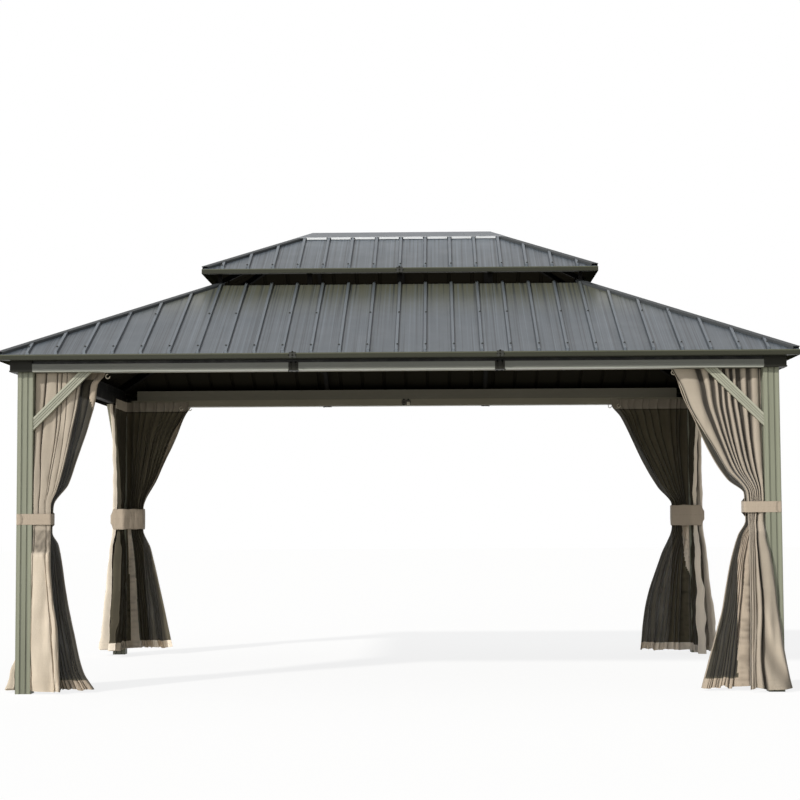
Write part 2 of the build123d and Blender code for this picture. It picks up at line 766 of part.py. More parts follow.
CURTAIN_OUTER = BRACE_SETBACK + BRACE_THICKNESS + CLOTH_GAP
CURTAIN_FACES = (CURTAIN_OUTER, CURTAIN_OUTER + CURTAIN_FOLD)
NETTING_FACES = (CURTAIN_FACES[1] + CLOTH_GAP, CURTAIN_FACES[1] + CLOTH_GAP + NETTING_FOLD)
TIED_MIDDLE = POST_SIDE / 2
CURTAIN_TIED = (CLOTH_GAP, TIED_MIDDLE - CLOTH_GAP / 2)
NETTING_TIED = (TIED_MIDDLE + CLOTH_GAP / 2, POST_SIDE - CLOTH_GAP)


def curtains(corner):
    """The two taupe curtains that are gathered at one post."""
    outer, inner = CURTAIN_TIED
    low = HEM_CLEARANCE
    near = CURTAIN_INSET
    panels = []
    flares = {"x": SKIRT_FOLD * CURTAIN_FLARE_SHARE, "y": SIDE_FLARES[corner]}
    for along, spread in (("x", CURTAIN_SPREADS[corner]), ("y", SIDE_SPREAD)):
        skirt = [(low, near, near + CURTAIN_SKIRT, outer - flares[along], inner)]
        if corner == "front_right" and along == "x":
            # This one falls in front of its post below the tie.
            shifted = TIE_HEIGHTS[corner] - TIE_WIDE
            far = near + GATHER_WIDTH
            skirt = [
                (shifted, near, far, -inner, -CLOTH_GAP),
                (low, far - FRONT_SKIRT_REACH, far, -SKIRT_FOLD, -CLOTH_GAP),
            ]
        panels.append(panel(corner, along, spread, (CURTAIN_FACES, CURTAIN_TIED), skirt))
    return joined(panels)


def nettings(corner):
    """The two insect nets that are gathered behind the curtains at one post."""
    panels = []
    for along, spread in (("x", NETTING_SPREADS[corner]), ("y", SIDE_SPREAD)):
        near, far = NETTING_SKIRT_INSET, NETTING_SKIRT_INSET + NETTING_SKIRT
        inner = NETTING_TIED[1] + SKIRT_FOLD * NETTING_FLARE_SHARE
        skirt = [(HEM_CLEARANCE, near, far, NETTING_FACES[0], inner)]
        panels.append(panel(corner, along, spread, (NETTING_FACES, NETTING_TIED), skirt))
    return joined(panels)


def tie_band(corner):
    """Tie round a post and its gathered panels, broad on the room side and narrow outside."""
    sx, sy = CORNERS[corner]
    edge = -HANG_GAP
    far = POST_SIDE + CURTAIN_INSET + GATHER_WIDTH + CLOTH_GAP
    turn = POST_SIDE + CLOTH_GAP
    loop = make_face(
        Polyline((edge, edge), (far, edge), (far, turn), (turn, far), (edge, far), close=True)
    )
    band = extrude(offset(loop, TIE_SHEET) - loop, TIE_WIDE)
    # The height grows along the diagonal from the post's outer corner into the room.
    reach = far * sqrt(2)
    start, stop = reach * TIE_TAPER_START_SHARE, reach * TIE_TAPER_END_SHARE
    low, high = (TIE_WIDE - TIE_NARROW) / 2, (TIE_WIDE + TIE_NARROW) / 2
    outline = [
        (-reach, low), (start, low), (stop, 0), (reach, 0),
        (reach, TIE_WIDE), (stop, TIE_WIDE), (start, high), (-reach, high),
    ]
    diagonal = Plane(origin=(0, 0, 0), x_dir=(1, 1, 0), z_dir=(1, -1, 0))
    shaped = band & extrude(diagonal * make_face(Polyline(*outline, close=True)), reach, both=True)
    if sx > 0:
        shaped = shaped.mirror(Plane.YZ)
    if sy > 0:
        shaped = shaped.mirror(Plane.XZ)
    return Pos(sx * POST_X, sy * POST_Y, TIE_HEIGHTS[corner] - TIE_WIDE / 2) * shaped


# Writing every piece to its own file

def pieces():
    made = {}
    for corner in CORNERS:
        made[f"post_{corner}"] = post(corner)
        made[f"curtains_{corner}"] = curtains(corner)
        made[f"nettings_{corner}"] = nettings(corner)
        made[f"tie_band_{corner}"] = tie_band(corner)
    made["corner_blocks"] = joined([corner_block(corner) for corner in CORNERS])
    soffit = EAVE_OVERHANG - BLOCK_LIP + FASCIA_LAP
    for side in SIDES:
        lower_joints, upper_joints = fascia_joints(side)
        made[f"{side}_beam"] = beam(side)
        made[f"{side}_braces"] = braces(side)
        made[f"lower_roof_{side}"] = roof_sheet(LOWER, side)
        made[f"upper_roof_{side}"] = roof_sheet(UPPER, side)
        made[f"lower_fascia_{side}"] = fascia(LOWER, side, LOWER_FASCIA_HEIGHT, soffit, lower_joints)
        made[f"upper_fascia_{side}"] = fascia(UPPER, side, UPPER_FASCIA_HEIGHT, UPPER_SOFFIT, upper_joints)
    made["beam_sleeves"] = beam_sleeves()
    made["curtain_rails"] = curtain_rails()
    made["rail_joiners"] = rail_joiners()
    made["fascia_clips"] = fascia_clips()
    made["lower_hip_caps"] = hip_caps(LOWER, LOWER_RUN)
    made["upper_hip_caps"] = hip_caps(UPPER, UPPER.half_depth - HIP_CAP_REACH - FIT)
    made["ridge_cap"] = ridge_cap()
    made["lower_rafters"] = lower_rafters()
    made["lower_hip_rafters"] = lower_hip_rafters()
    made["vent_frame"] = vent_frame()
    made["vent_struts"] = vent_struts()
    made["upper_rafters"] = upper_rafters()
    made["upper_hip_rafters"] = upper_hip_rafters()
    made["ridge_beam"] = ridge_beam()
    return made


os.makedirs("parts", exist_ok=True)
for name, shape in pieces().items():
    export_step(shape, f"parts/{name}.step")
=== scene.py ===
"""Looks of the metal gazebo: paint on its frame and roof, screws, gathered curtains, nets and tie bands."""

import json
import math
import random

import bmesh
import bpy
from mathutils import Matrix, Vector, noise


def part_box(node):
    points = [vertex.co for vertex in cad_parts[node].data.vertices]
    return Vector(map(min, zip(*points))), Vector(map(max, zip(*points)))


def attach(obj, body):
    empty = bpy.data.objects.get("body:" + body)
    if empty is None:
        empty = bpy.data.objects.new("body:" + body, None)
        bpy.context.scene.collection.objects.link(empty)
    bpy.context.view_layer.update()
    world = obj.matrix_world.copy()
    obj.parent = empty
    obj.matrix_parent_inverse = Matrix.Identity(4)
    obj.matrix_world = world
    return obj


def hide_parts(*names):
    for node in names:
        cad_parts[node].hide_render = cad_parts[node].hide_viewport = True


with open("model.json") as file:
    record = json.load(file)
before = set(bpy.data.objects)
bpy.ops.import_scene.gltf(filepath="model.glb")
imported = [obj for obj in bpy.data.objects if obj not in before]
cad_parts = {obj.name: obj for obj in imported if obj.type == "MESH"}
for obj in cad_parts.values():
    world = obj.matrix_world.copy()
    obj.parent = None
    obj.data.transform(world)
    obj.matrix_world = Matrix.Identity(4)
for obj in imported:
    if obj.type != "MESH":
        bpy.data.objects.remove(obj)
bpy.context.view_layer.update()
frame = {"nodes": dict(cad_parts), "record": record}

bl_info = {
    "name": "Metal gazebo looks",
    "version": (1, 0, 0),
    "blender": (4, 5, 0),
    "location": "View3D > Sidebar > Gazebo",
    "description": "Finishes, fasteners and gathered cloth for the metal gazebo",
    "category": "Object",
}

MM = 0.001
# The axis along a side, the axis across it, and which way on that axis is out
SIDES = {"front": (0, 1, -1), "right": (1, 0, 1), "back": (0, 1, 1), "left": (1, 0, -1)}
CORNERS = {"front_left": (-1, -1), "front_right": (1, -1), "back_left": (-1, 1), "back_right": (1, 1)}
# In millimetres, as the tables of the cloth are
TIE_HEIGHTS = {"front_left": 1059, "front_right": 1112, "back_left": 1067, "back_right": 1075}
POST_SIDE = 98


def clamp(value):
    """A value kept between 0 and 1."""
    return min(1.0, max(0.0, value))


def srgb(red, green, blue):
    """Linear colour from the 0 to 255 values a colour picker shows."""
    def linear(value):
        share = value / 255
        return share / 12.92 if share <= 0.04045 else ((share + 0.055) / 1.055) ** 2.4
    return (linear(red), linear(green), linear(blue))


def number_property(name, description, default, **kind):
    return bpy.props.FloatProperty(name=name, description=description, default=default, **kind)


def length_property(name, description, default):
    return number_property(name, description, default, min=0, subtype="DISTANCE", unit="LENGTH")


def angle_property(name, description, default):
    return number_property(name, description, default, subtype="ANGLE", unit="ROTATION")


def vector_property(name, description, default, **kind):
    return bpy.props.FloatVectorProperty(name=name, description=description, default=default, **kind)


def colour_property(name, description, *values):
    return vector_property(name, description, srgb(*values), subtype="COLOR", size=3, min=0, max=1)


SENSOR = 36


class GazeboStageSettings(bpy.types.PropertyGroup):
    """Camera, lamps and floor."""
    lens: number_property("Lens", f"Focal length on a {SENSOR} mm sensor", 80.68, subtype="DISTANCE_CAMERA")
    eye: vector_property(
        "Eye", "Where the camera stands", (0.2433, -12.6274, 1.0227), subtype="TRANSLATION", unit="LENGTH"
    )
    aim: vector_property(
        "Aim", "Yaw, pitch and roll of the camera", (0.0205, 0.0687, -0.0053),
        subtype="EULER", unit="ROTATION",
    )
    sun_strength: number_property("Key light", "Strength of the key lamp", 2.75)
    sun_softness: angle_property("Key softness", "Angle that the key lamp covers", 0.07)
    sun_from: vector_property(
        "Key from", "Direction towards the key lamp", (-0.55, -0.66, 0.51), subtype="DIRECTION"
    )
    fill_strength: number_property("Fill light", "Strength of the low fill lamp", 0.7)
    fill_softness: angle_property("Fill softness", "Angle that the fill lamp covers", 0.5)
    fill_from: vector_property(
        "Fill from", "Direction towards the fill lamp", (-0.30, -0.94, 0.13), subtype="DIRECTION"
    )
    sky_strength: number_property("Sky light", "Strength of the even light from all round", 0.28)
    floor_colour: colour_property("Floor", "Colour of the floor that the camera sees", 250, 250, 249)
    floor_bounce: colour_property("Floor bounce", "Colour that the floor throws back", 214, 210, 198)


class GazeboMetalSettings(bpy.types.PropertyGroup):
    """Painted metal and its fasteners."""
    roof: colour_property("Roof", "Coating of the roof sheets", 78, 85, 92)
    cap: colour_property("Caps", "Coating of the hip caps", 66, 69, 71)
    ridge: colour_property("Ridge cap", "Coating of the ridge cap", 88, 93, 100)
    lip: colour_property("Ridge lip", "Worn edge of the ridge cap", 214, 217, 219)
    # Painted reflection of the upper roof's olive eave, on the lower sheets just under it
    eave_reflection_tint: colour_property("Weathered", "Tint of the lower sheets near the upper roof", 104, 103, 80)
    # Dark back coating, standing in for the shade under the roof
    underside: colour_property("Underside", "Back coating of the roof sheets", 42, 40, 35)
    fascia: colour_property("Fascia", "Coating of the roof edges", 56, 57, 47)
    beam: colour_property("Beams", "Coating of the beams", 112, 114, 108)
    post: colour_property("Posts", "Coating of the posts", 135, 138, 121)
    brace: colour_property("Braces", "Coating of the knee braces", 164, 165, 149)
    # Near black, as painted shade on the frame under the roof
    inner: colour_property("Roof frame", "Coating of the rafters and struts", 20, 19, 17)
    rail: colour_property("Tracks", "Coating of the curtain tracks", 150, 146, 132)
    trim: colour_property("Inner trims", "Coating of the trims under the eaves", 128, 126, 117)
    casting: colour_property("Castings", "Coating of the corner blocks, sleeves and clips", 39, 39, 34)
    screw: colour_property("Screws", "Coating of the fasteners", 52, 54, 53)
    lower_rib: length_property("Lower rib pitch", "Spacing of the ribs on the lower roof", 0.173)
    upper_rib: length_property("Upper rib pitch", "Spacing of the ribs on the upper roof", 0.170)
    lower_slope: angle_property("Lower slope", "Pitch of the lower roof", math.radians(25.5))
    upper_slope: angle_property("Upper slope", "Pitch of the upper roof", math.radians(25.5))
    rib_crest: length_property("Rib crest", "Height of a rib's crest over the sheet's underside", 0.016)
    screw_size: length_property("Screw", "Radius of a screw's head", 0.0055)


class GazeboClothSettings(bpy.types.PropertyGroup):
    """Curtains, nets, tie bands and their hooks."""
    curtain: colour_property("Curtain", "Woven curtain cloth", 214, 201, 183)
    tie: colour_property("Tie band", "Woven tie bands and hems", 180, 166, 149)
    # Paler copy of the cloth colour, as painted sunlight on the back nets' hems and bands and the back side
    # curtains
    edging: colour_property("Edging", "Bands of the back nets, and the side curtains there", 244, 230, 213)
    netting: colour_property("Netting", "Threads of the insect net", 85, 79, 63)
    hook: colour_property("Hooks", "Plastic curtain hooks", 214, 206, 190)
    weave: length_property("Weave", "Spacing of the curtain's threads", 0.0011)
    mesh: length_property("Mesh", "Spacing of the net's threads", 0.0024)
    openness: number_property(
        "Openness", "Share of light that passes one layer of net", 0.025, min=0, max=1, subtype="FACTOR"
    )
    hem: length_property("Hem", "Width of the sewn hems", 0.060)
    head: length_property("Heading", "Height of the heading tape", 0.078)


class Wire:
    """An output in a finish's node tree. Arithmetic on it adds Math nodes."""

    def __init__(self, finish, socket):
        self.finish = finish
        self.socket = socket

    def math(self, operation, *values):
        return self.finish.add("ShaderNodeMath", {"operation": operation}, self, *values)

    def __add__(self, other):
        return self.math("ADD", other)

    def __sub__(self, other):
        return self.math("SUBTRACT", other)

    def __rsub__(self, other):
        return self.finish.add("ShaderNodeMath", {"operation": "SUBTRACT"}, other, self)

    def __mul__(self, other):
        return self.math("MULTIPLY", other)

    def __truediv__(self, other):
        return self.math("DIVIDE", other)

    def __gt__(self, other):
        return self.math("GREATER_THAN", other)

    def __lt__(self, other):
        return self.math("LESS_THAN", other)

    def __abs__(self):
        return self.math("ABSOLUTE")

    __radd__ = __add__
    __rmul__ = __mul__


class Finish:
    """A material built from nodes round one Principled shader."""

    def __init__(self, name, **sockets):
        self.material = bpy.data.materials.new(name)
        self.material.use_nodes = True
        self.tree = self.material.node_tree
        self.shader = self.tree.nodes["Principled BSDF"]
        self.paint(**sockets)

    def add(self, kind, settings, *values, out=0, **named):
        """One node of this kind: its settings first, then the values or wires of its sockets."""
        node = self.tree.nodes.new(kind)
        for key, value in settings.items():
            setattr(node, key, value)
        for index, value in enumerate(values):
            self.plug(value, node.inputs[index])
        for key, value in named.items():
            self.plug(value, node.inputs[key])
        return Wire(self, node.outputs[out])

    def plug(self, value, socket):
        if isinstance(value, Wire):
            self.tree.links.new(value.socket, socket)
        elif value is not None:
            socket.default_value = value

    def paint(self, **sockets):
        """Sets or links sockets of the shader; underscores stand for spaces."""
        for key, value in sockets.items():
            self.plug(value, self.shader.inputs[key.replace("_", " ")])

    def place(self):
        """Where the surface is, in the object's own coordinates."""
        return self.add("ShaderNodeTexCoord", {}, out=3)

    def facing(self):
        """The three parts of the surface's normal."""
        return self.parts(self.add("ShaderNodeNewGeometry", {}, out=1))

    def flat(self):
        """Where the surface is on the cloth laid flat, in metres."""
        return self.add("ShaderNodeUVMap", {"uv_map": "cloth"})

    def painted_shade(self):
        """The cloth's painted shade: in the gaps between folds, on their flanks and over whole panels."""
        return self.add("ShaderNodeAttribute", {"attribute_name": "shade"}, out=2)

    def parts(self, vector):
        node = self.add("ShaderNodeSeparateXYZ", {}, vector).socket.node
        return [Wire(self, output) for output in node.outputs]

    def unsigned_parts(self, vector):
        """Parts without their signs, so that one formula serves all four corners."""
        return self.parts(self.add("ShaderNodeVectorMath", {"operation": "ABSOLUTE"}, vector))

    def stretched(self, vector, x, y, z):
        return self.add("ShaderNodeVectorMath", {"operation": "MULTIPLY"}, vector, (x, y, z))

    def noise(self, vector, scale, detail=2.0, roughness=0.5):
        return self.add(
            "ShaderNodeTexNoise", {}, Vector=vector, Scale=scale, Detail=detail, Roughness=roughness
        )

    def wave(self, value, spacing):
        return (value * (math.tau / spacing)).math("SINE")

    def mix(self, low, high, share):
        empty = [None] * 5
        return self.add("ShaderNodeMix", {"data_type": "RGBA"}, share, *empty, low, high, out=2)

    def shades(self, colour, low, high, share):
        """From a darker to a lighter tone of one colour."""
        return self.mix(tone(colour, low), tone(colour, high), share)

    def over(self, base, colour, lightness, share):
        """A tone of a colour laid over what is there."""
        return self.mix(base, tone(colour, lightness), share)

    def span(self, value, low, high, to_low=0.0, to_high=1.0):
        """A value's way from low to high, eased, as a way between two other values."""
        settings = {"interpolation_type": "SMOOTHSTEP"}
        return self.add("ShaderNodeMapRange", settings, value, low, high, to_low, to_high)

    def stripe(self, value, middle, full, gone):
        """1 up to one distance from a middle line, fading to 0 at another."""
        return self.span(abs(value - middle), full, gone, 1, 0)

    def bump(self, height, distance, strength=1.0, normal=None):
        return self.add(
            "ShaderNodeBump", {}, Strength=strength, Distance=distance, Height=height, Normal=normal
        )

    def show(self, shader):
        """Puts a mixed shader in the place of the plain one."""
        self.plug(shader, self.tree.nodes["Material Output"].inputs["Surface"])


def tone(colour, share):
    """A colour made lighter or darker, as a socket takes it."""
    return (*(min(1.0, part * share) for part in colour), 1.0)


def satin_finish(
    name, colour, along=(1, 1, 0.06), roughness=0.42, gloss=0.35, lined=None, pale=1.30, deep=0.46
):
    """Powder coat: soft mottling, faint run marks, dust, a fine grain, and marks from its lines function,
    mostly painted shade and highlights.
    """
    finish = Finish(name, Specular_IOR_Level=gloss)
    place = finish.place()
    mottle = finish.noise(place, 2.6, 3.0)
    runs = finish.noise(finish.stretched(place, *along), 46, 3.0, 0.6)
    dust = finish.noise(place, 9, 5.0, 0.65)
    grain = finish.noise(place, 620, 1.0)
    shown = finish.shades(colour, 0.88, 1.12, mottle * 0.45 + runs * 0.55)
    shown = finish.over(shown, colour, 1.32, finish.span(dust, 0.56, 0.80, 0, 0.30))
    if lined:
        # The lines function gives dark and light marks, mostly painted shade and painted highlights
        dark, light = lined(finish, place)
        shown = finish.over(shown, colour, deep, dark * (0.70 + (dust - 0.5) * 0.5))
        shown = finish.over(shown, colour, pale, light * 0.45)
    finish.paint(Base_Color=shown, Roughness=roughness + (runs - 0.5) * 0.12 + (dust - 0.5) * 0.16)
    finish.paint(Normal=finish.bump(grain, 0.0002, 0.35))
    return finish.material


# Metres across a post's face or a brace, from its middle line: flutes and grooves get painted shade, the
# bands beside the flutes and the brace's edge get painted highlights
FLUTE, FLUTE_HIGHLIGHT = 0.0172, 0.0335
BRACE_GROOVES, BRACE_HIGHLIGHT = (-0.0125, 0.0, 0.0125), 0.0215
# Metres from the middle of the roof to where the painted shade at its ends starts and is full
ROOF_END = 2.17, 2.21
# Metres over the ground: posts darker towards the feet, painted eave and ridge reflections, and the upper
# eave
DARKER_FEET, EAVE_REFLECTION, RIDGE_REFLECTION, UPPER_EAVE = (0.05, 0.9), (2.30, 2.66), (2.80, 3.03), 2.72


def post_lines(finish, place):
    """Painted shade in the posts' flutes and painted highlight bands beside them; darker towards the feet."""
    low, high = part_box("post_back_right")
    middle = (low + high) / 2
    spot, facing = finish.unsigned_parts(place), finish.facing()
    dark, light = 0.0, 0.0
    for axis, other in ((0, 1), (1, 0)):
        off = abs(spot[axis] - middle[axis])
        turned = abs(facing[other]) > 0.25
        # Painted shade in each flute, and a painted highlight band beside it
        dark = dark + finish.stripe(off, FLUTE, 0.0028, 0.0052) * turned
        light = light + finish.stripe(off, FLUTE_HIGHLIGHT, 0.004, 0.009) * turned
    # The posts also grow darker towards their feet
    return dark + finish.span(spot[2], *DARKER_FEET, 0.5, 0), light


def brace_lines(finish, place):
    """Painted shade in the grooves along the knee braces, and a painted highlight along one edge."""
    spot = finish.unsigned_parts(place)
    dark, light = 0.0, 0.0
    for side, axis in (("front", 0), ("right", 1)):
        cross = 1 - axis
        vertices = frame["nodes"][f"{side}_braces"].data.vertices
        sums = [(abs(vertex.co[axis]) + vertex.co.z) / math.sqrt(2) for vertex in vertices]
        off = (spot[axis] + spot[2]) / math.sqrt(2) - (min(sums) + max(sums)) / 2
        low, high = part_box(f"{side}_braces")
        near = abs(spot[cross] - (abs(low[cross]) + abs(high[cross])) / 2) < 0.04
        # Painted shade in each groove, and a painted highlight along one edge
        for groove in BRACE_GROOVES:
            dark = dark + finish.stripe(off, groove, 0.0016, 0.0032) * near
        light = light + finish.stripe(off, BRACE_HIGHLIGHT, 0.002, 0.006) * near
    return dark, light


def fascia_lines(finish, place):
    """Painted shadow along the foot of each fascia and a painted highlight along its top fold."""
    height = finish.parts(place)[2]
    dark = light = 0
    for tier in ("lower", "upper"):
        low, high = (corner[2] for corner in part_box(f"{tier}_fascia_front"))
        seen = (high - low) * 0.66
        # Painted shadow along each fascia's foot, and a painted highlight along its top
        dark = finish.span(height - low, seen * 0.05, seen * 0.20, 1, 0) * (height > low - 0.01) + dark
        light = finish.span(height - low, seen * 0.72, seen * 0.86) * (height < high + 0.01) + light
    return dark * 0.6, light


def beam_shadow_and_highlight(finish, place):
    """Painted shadow in the recess along a beam's top, under the fascia, and a painted highlight along its
    foot.
    """
    low, high = (corner[2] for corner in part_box("front_beam"))
    shoulder = low + (high - low) * 0.70
    height = finish.parts(place)[2]
    # Painted shadow in the recess, and a painted highlight along the beam's foot
    recess = finish.span(height, shoulder, shoulder + 0.002, 0, 1.35)
    return recess, finish.span(height, low + 0.003, low + 0.006, 1, 0)


def roof_end_shade(finish, place):
    """Painted shade along the two ends of the roof."""
    return finish.span(abs(finish.parts(place)[0]), *ROOF_END, 0, 1.45), 0


def side_beam_shade(finish, place):
    """Painted shade all over a beam of a short side, but for its outer face."""
    outer = -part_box("left_beam")[0][0]
    return finish.span(abs(finish.parts(place)[0]), outer - 0.006, outer - 0.003, 1.45, 0), 0


def ridge_finish(name, metal):
    """Folded ridge cap, brushed by the weather, with its turned-down lips rubbed pale."""
    finish = Finish(name, Metallic=0.1)
    place = finish.place()
    drawn = finish.noise(finish.stretched(place, 0.02, 1, 1), 90, 3.0, 0.6)
    dust = finish.noise(place, 12, 4.0, 0.6)
    top = finish.shades(metal.ridge, 0.84, 1.16, drawn * 0.6 + dust * 0.4)
    lip = finish.shades(metal.lip, 0.80, 1.05, dust)
    finish.paint(Base_Color=finish.mix(top, lip, abs(finish.facing()[2]) < 0.6))
    finish.paint(Roughness=0.30 + (dust - 0.5) * 0.2, Normal=finish.bump(drawn, 0.0003, 0.4))
    return finish.material


def roof_finish(name, metal, axis, pitch):
    """Ribbed sheet: lines drawn down each pan, a tint of its own, painted highlights on rib crests and shade
    beside them.
    """
    finish = Finish(name, Metallic=0.1)
    place = finish.place()
    parts = finish.parts(place)
    across, height = parts[axis] / pitch, parts[2]
    tint = finish.add("ShaderNodeTexWhiteNoise", {"noise_dimensions": "1D"}, W=across.math("FLOOR"))
    from_rib = across.math("PINGPONG", 0.5)
    # Painted highlight on each rib's crest and painted shade along its sides
    crest = finish.span(from_rib, 0.040, 0.052, 1, 0)
    flank = finish.stripe(from_rib, 0.068, 0.012, 0.026)

    def down_slope(share):
        return finish.stretched(place, *(1 if part == axis else share for part in range(3)))

    lines = finish.noise(down_slope(0.004), 70, 2.0, 0.75)
    broad = finish.noise(down_slope(0.004), 17, 2.0, 0.5)
    streaks = finish.noise(down_slope(0.05), 34, 4.0, 0.6)
    mottle = finish.noise(place, 1.7, 4.0, 0.55)
    dust = finish.noise(place, 7, 5.0, 0.6)
    shade = mottle * 0.25 + streaks * 0.30 + broad * 0.25 + tint * 0.20
    # Painted reflection of the olive eave: the lower sheets take its tint just under the upper roof
    worn = finish.span(height, *EAVE_REFLECTION) * (height < UPPER_EAVE) * 0.75
    sheet = finish.mix(
        finish.shades(metal.roof, 0.78, 1.22, shade), finish.shades(metal.eave_reflection_tint, 0.8, 1.2, shade), worn
    )
    for lightness, share in (
        # Painted reflection of the pale ridge lips, near the top of the upper slopes
        (1.75, finish.span(height, *RIDGE_REFLECTION, 0, 0.6)),
        (0.42, finish.span(lines, 0.53, 0.62, 0, 0.75)),
        (1.90, finish.span(lines, 0.44, 0.34, 0, 0.45)),
        # Painted highlight on the crests and painted shade beside them
        (1.45, crest * 0.7),
        (0.42, flank * (0.45 + streaks * 0.3)),
        (1.35, finish.span(dust, 0.56, 0.8, 0, 0.28)),
    ):
        sheet = finish.over(sheet, metal.roof, lightness, share)
    # Faces turned down show the dark back coating, which stands in for the shade under the roof
    facing = finish.facing()
    beneath = (facing[2] < 0) * (abs(facing[1 - axis]) < 0.7)
    under = finish.shades(metal.underside, 0.8, 1.2, mottle)
    finish.paint(Base_Color=finish.mix(sheet, under, beneath))
    finish.paint(Roughness=0.33 + (dust - 0.5) * 0.2 + lines * 0.10)
    finish.paint(Normal=finish.bump(lines, 0.0014, 0.6))
    primer = finish.add("ShaderNodeBsdfDiffuse", {}, under)
    coat = Wire(finish, finish.shader.outputs[0])
    finish.show(finish.add("ShaderNodeMixShader", {}, beneath, coat, primer))
    return finish.material


def cloth_finish(name, colour, cloth):
    """Plain woven polyester: threads both ways, slubs, soft creases, a stitched hem line and painted shade in
    its folds.
    """
    finish = Finish(name, Sheen_Weight=0.25, Sheen_Roughness=0.5, Specular_IOR_Level=0.25)
    flat = finish.flat()
    across, down, _ = finish.parts(flat)
    threads = finish.wave(across, cloth.weave) * finish.wave(down, cloth.weave)
    slubs = finish.noise(finish.stretched(flat, 260, 14, 1), 1.0, 2.0)
    picks = finish.noise(finish.stretched(flat, 14, 260, 1), 1.0, 2.0)
    fade = finish.noise(flat, 3.2, 3.0)
    creases = finish.noise(finish.stretched(flat, 26, 9, 1), 1.0, 4.0, 0.6)
    seam = finish.stripe(down, cloth.hem, 0.0008, 0.0022)
    stitch = seam * ((across * 180).math("SINE") > -0.5)
    woven = finish.shades(colour, 0.84, 1.14, slubs * 0.30 + picks * 0.30 + fade * 0.40)
    woven = finish.over(woven, colour, 0.80, threads * 0.12 + stitch * 0.7)
    # Painted shade from the cloth's shade attribute
    woven = finish.over(woven, colour, 0.07, finish.painted_shade())
    finish.paint(Base_Color=woven, Roughness=0.86 + (slubs - 0.5) * 0.12)
    weave = finish.bump(threads * 0.5 + slubs * 0.8 + picks * 0.8, 0.0003, 0.5)
    finish.paint(Normal=finish.bump(creases, 0.006, 0.75, weave))
    return finish.material


def net_finish(name, colour, cloth):
    """Fine knitted net: crossed threads with open cells between them, and painted shade in its folds."""
    finish = Finish(name, Sheen_Weight=0.15, Roughness=0.8, Specular_IOR_Level=0.25)
    flat = finish.flat()
    across, down, _ = finish.parts(flat)
    lines = (finish.wave(across, cloth.mesh) + 1) * (finish.wave(down, cloth.mesh) + 1) * 0.25
    fade = finish.noise(finish.stretched(flat, 30, 6, 1), 1.0, 3.0)
    slack = finish.noise(flat, 5.0, 2.0)
    knit = finish.shades(colour, 0.70, 1.50, fade * 0.7 + slack * 0.3)
    # Painted shade from the net's shade attribute
    finish.paint(Base_Color=finish.over(knit, colour, 0.10, finish.painted_shade()))
    cell = finish.span(lines, 0.05, 0.55)
    finish.paint(Alpha=1 - cell * (cloth.openness * 2.0) - (slack - 0.5) * 0.05)
    finish.paint(Normal=finish.bump(lines, 0.0003, 0.4))
    return finish.material


def plain_finish(name, colour, roughness, metallic=0.0, gloss=0.5):
    """Small moulded or plated parts: slight mottling and a worn sheen."""
    finish = Finish(name, Metallic=metallic, Specular_IOR_Level=gloss)
    mottle = finish.noise(finish.place(), 120, 3.0)
    finish.paint(Base_Color=finish.shades(colour, 0.82, 1.18, mottle))
    finish.paint(Roughness=roughness + (mottle - 0.5) * 0.2)
    return finish.material


def finish_named(name, make, *facts):
    """The material of that name, made on first use."""
    return bpy.data.materials.get(name) or make(name, *facts)


def piece(name, mesh, materials):
    """Puts a bmesh into the scene as a piece of the gazebo."""
    data = bpy.data.meshes.new(name)
    mesh.to_mesh(data)
    mesh.free()
    for material in materials:
        data.materials.append(material)
    made = bpy.data.objects.new(name, data)
    bpy.context.scene.collection.objects.link(made)
    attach(made, "root")
    return made


def frame_at(place, normal, along):
    """Matrix that stands a shape at a place, its Z on the normal and its X near the direction along."""
    up = Vector(normal).normalized()
    side = Vector(along)
    side = (side - up * side.dot(up)).normalized()
    turned = Matrix((side, up.cross(side), up)).transposed().to_4x4()
    return Matrix.Translation(place) @ turned


def add_screw(mesh, matrix, radius):
    """Washer and hexagon head, flat on its seat."""
    seat = 0.0
    for segments, foot, top, share in ((12, 1.5, 1.35, 0.28), (6, 1.0, 0.88, 0.85)):
        depth = radius * share
        bmesh.ops.create_cone(
            mesh, cap_ends=True, segments=segments, radius1=radius * foot, radius2=radius * top, depth=depth,
            matrix=matrix @ Matrix.Translation((0, 0, seat + depth / 2)),
        )
        seat += depth


class Slope:
    """One roof slope, as its eave line and its pitch give it."""

    def __init__(self, tier, side, angle):
        low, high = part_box(f"{tier}_roof_{side}")
        run, cross, sign = SIDES[side]
        self.half = (high - low)[run] / 2
        self.along, outward, self.start = Vector((0, 0, 0)), Vector((0, 0, 0)), Vector((0, 0, low.z))
        self.along[run] = 1
        outward[cross] = sign
        self.start[cross] = (low if sign < 0 else high)[cross]
        self.up = -outward * math.cos(angle) + Vector((0, 0, math.sin(angle)))
        self.normal = outward * math.sin(angle) + Vector((0, 0, math.cos(angle)))
        self.shrink = math.cos(angle)

    def at(self, along, run, lift):
        return self.start + self.along * along + self.up * run + self.normal * lift

    def holds(self, along, run, margin):
        return abs(along) + run * self.shrink + margin < self.half


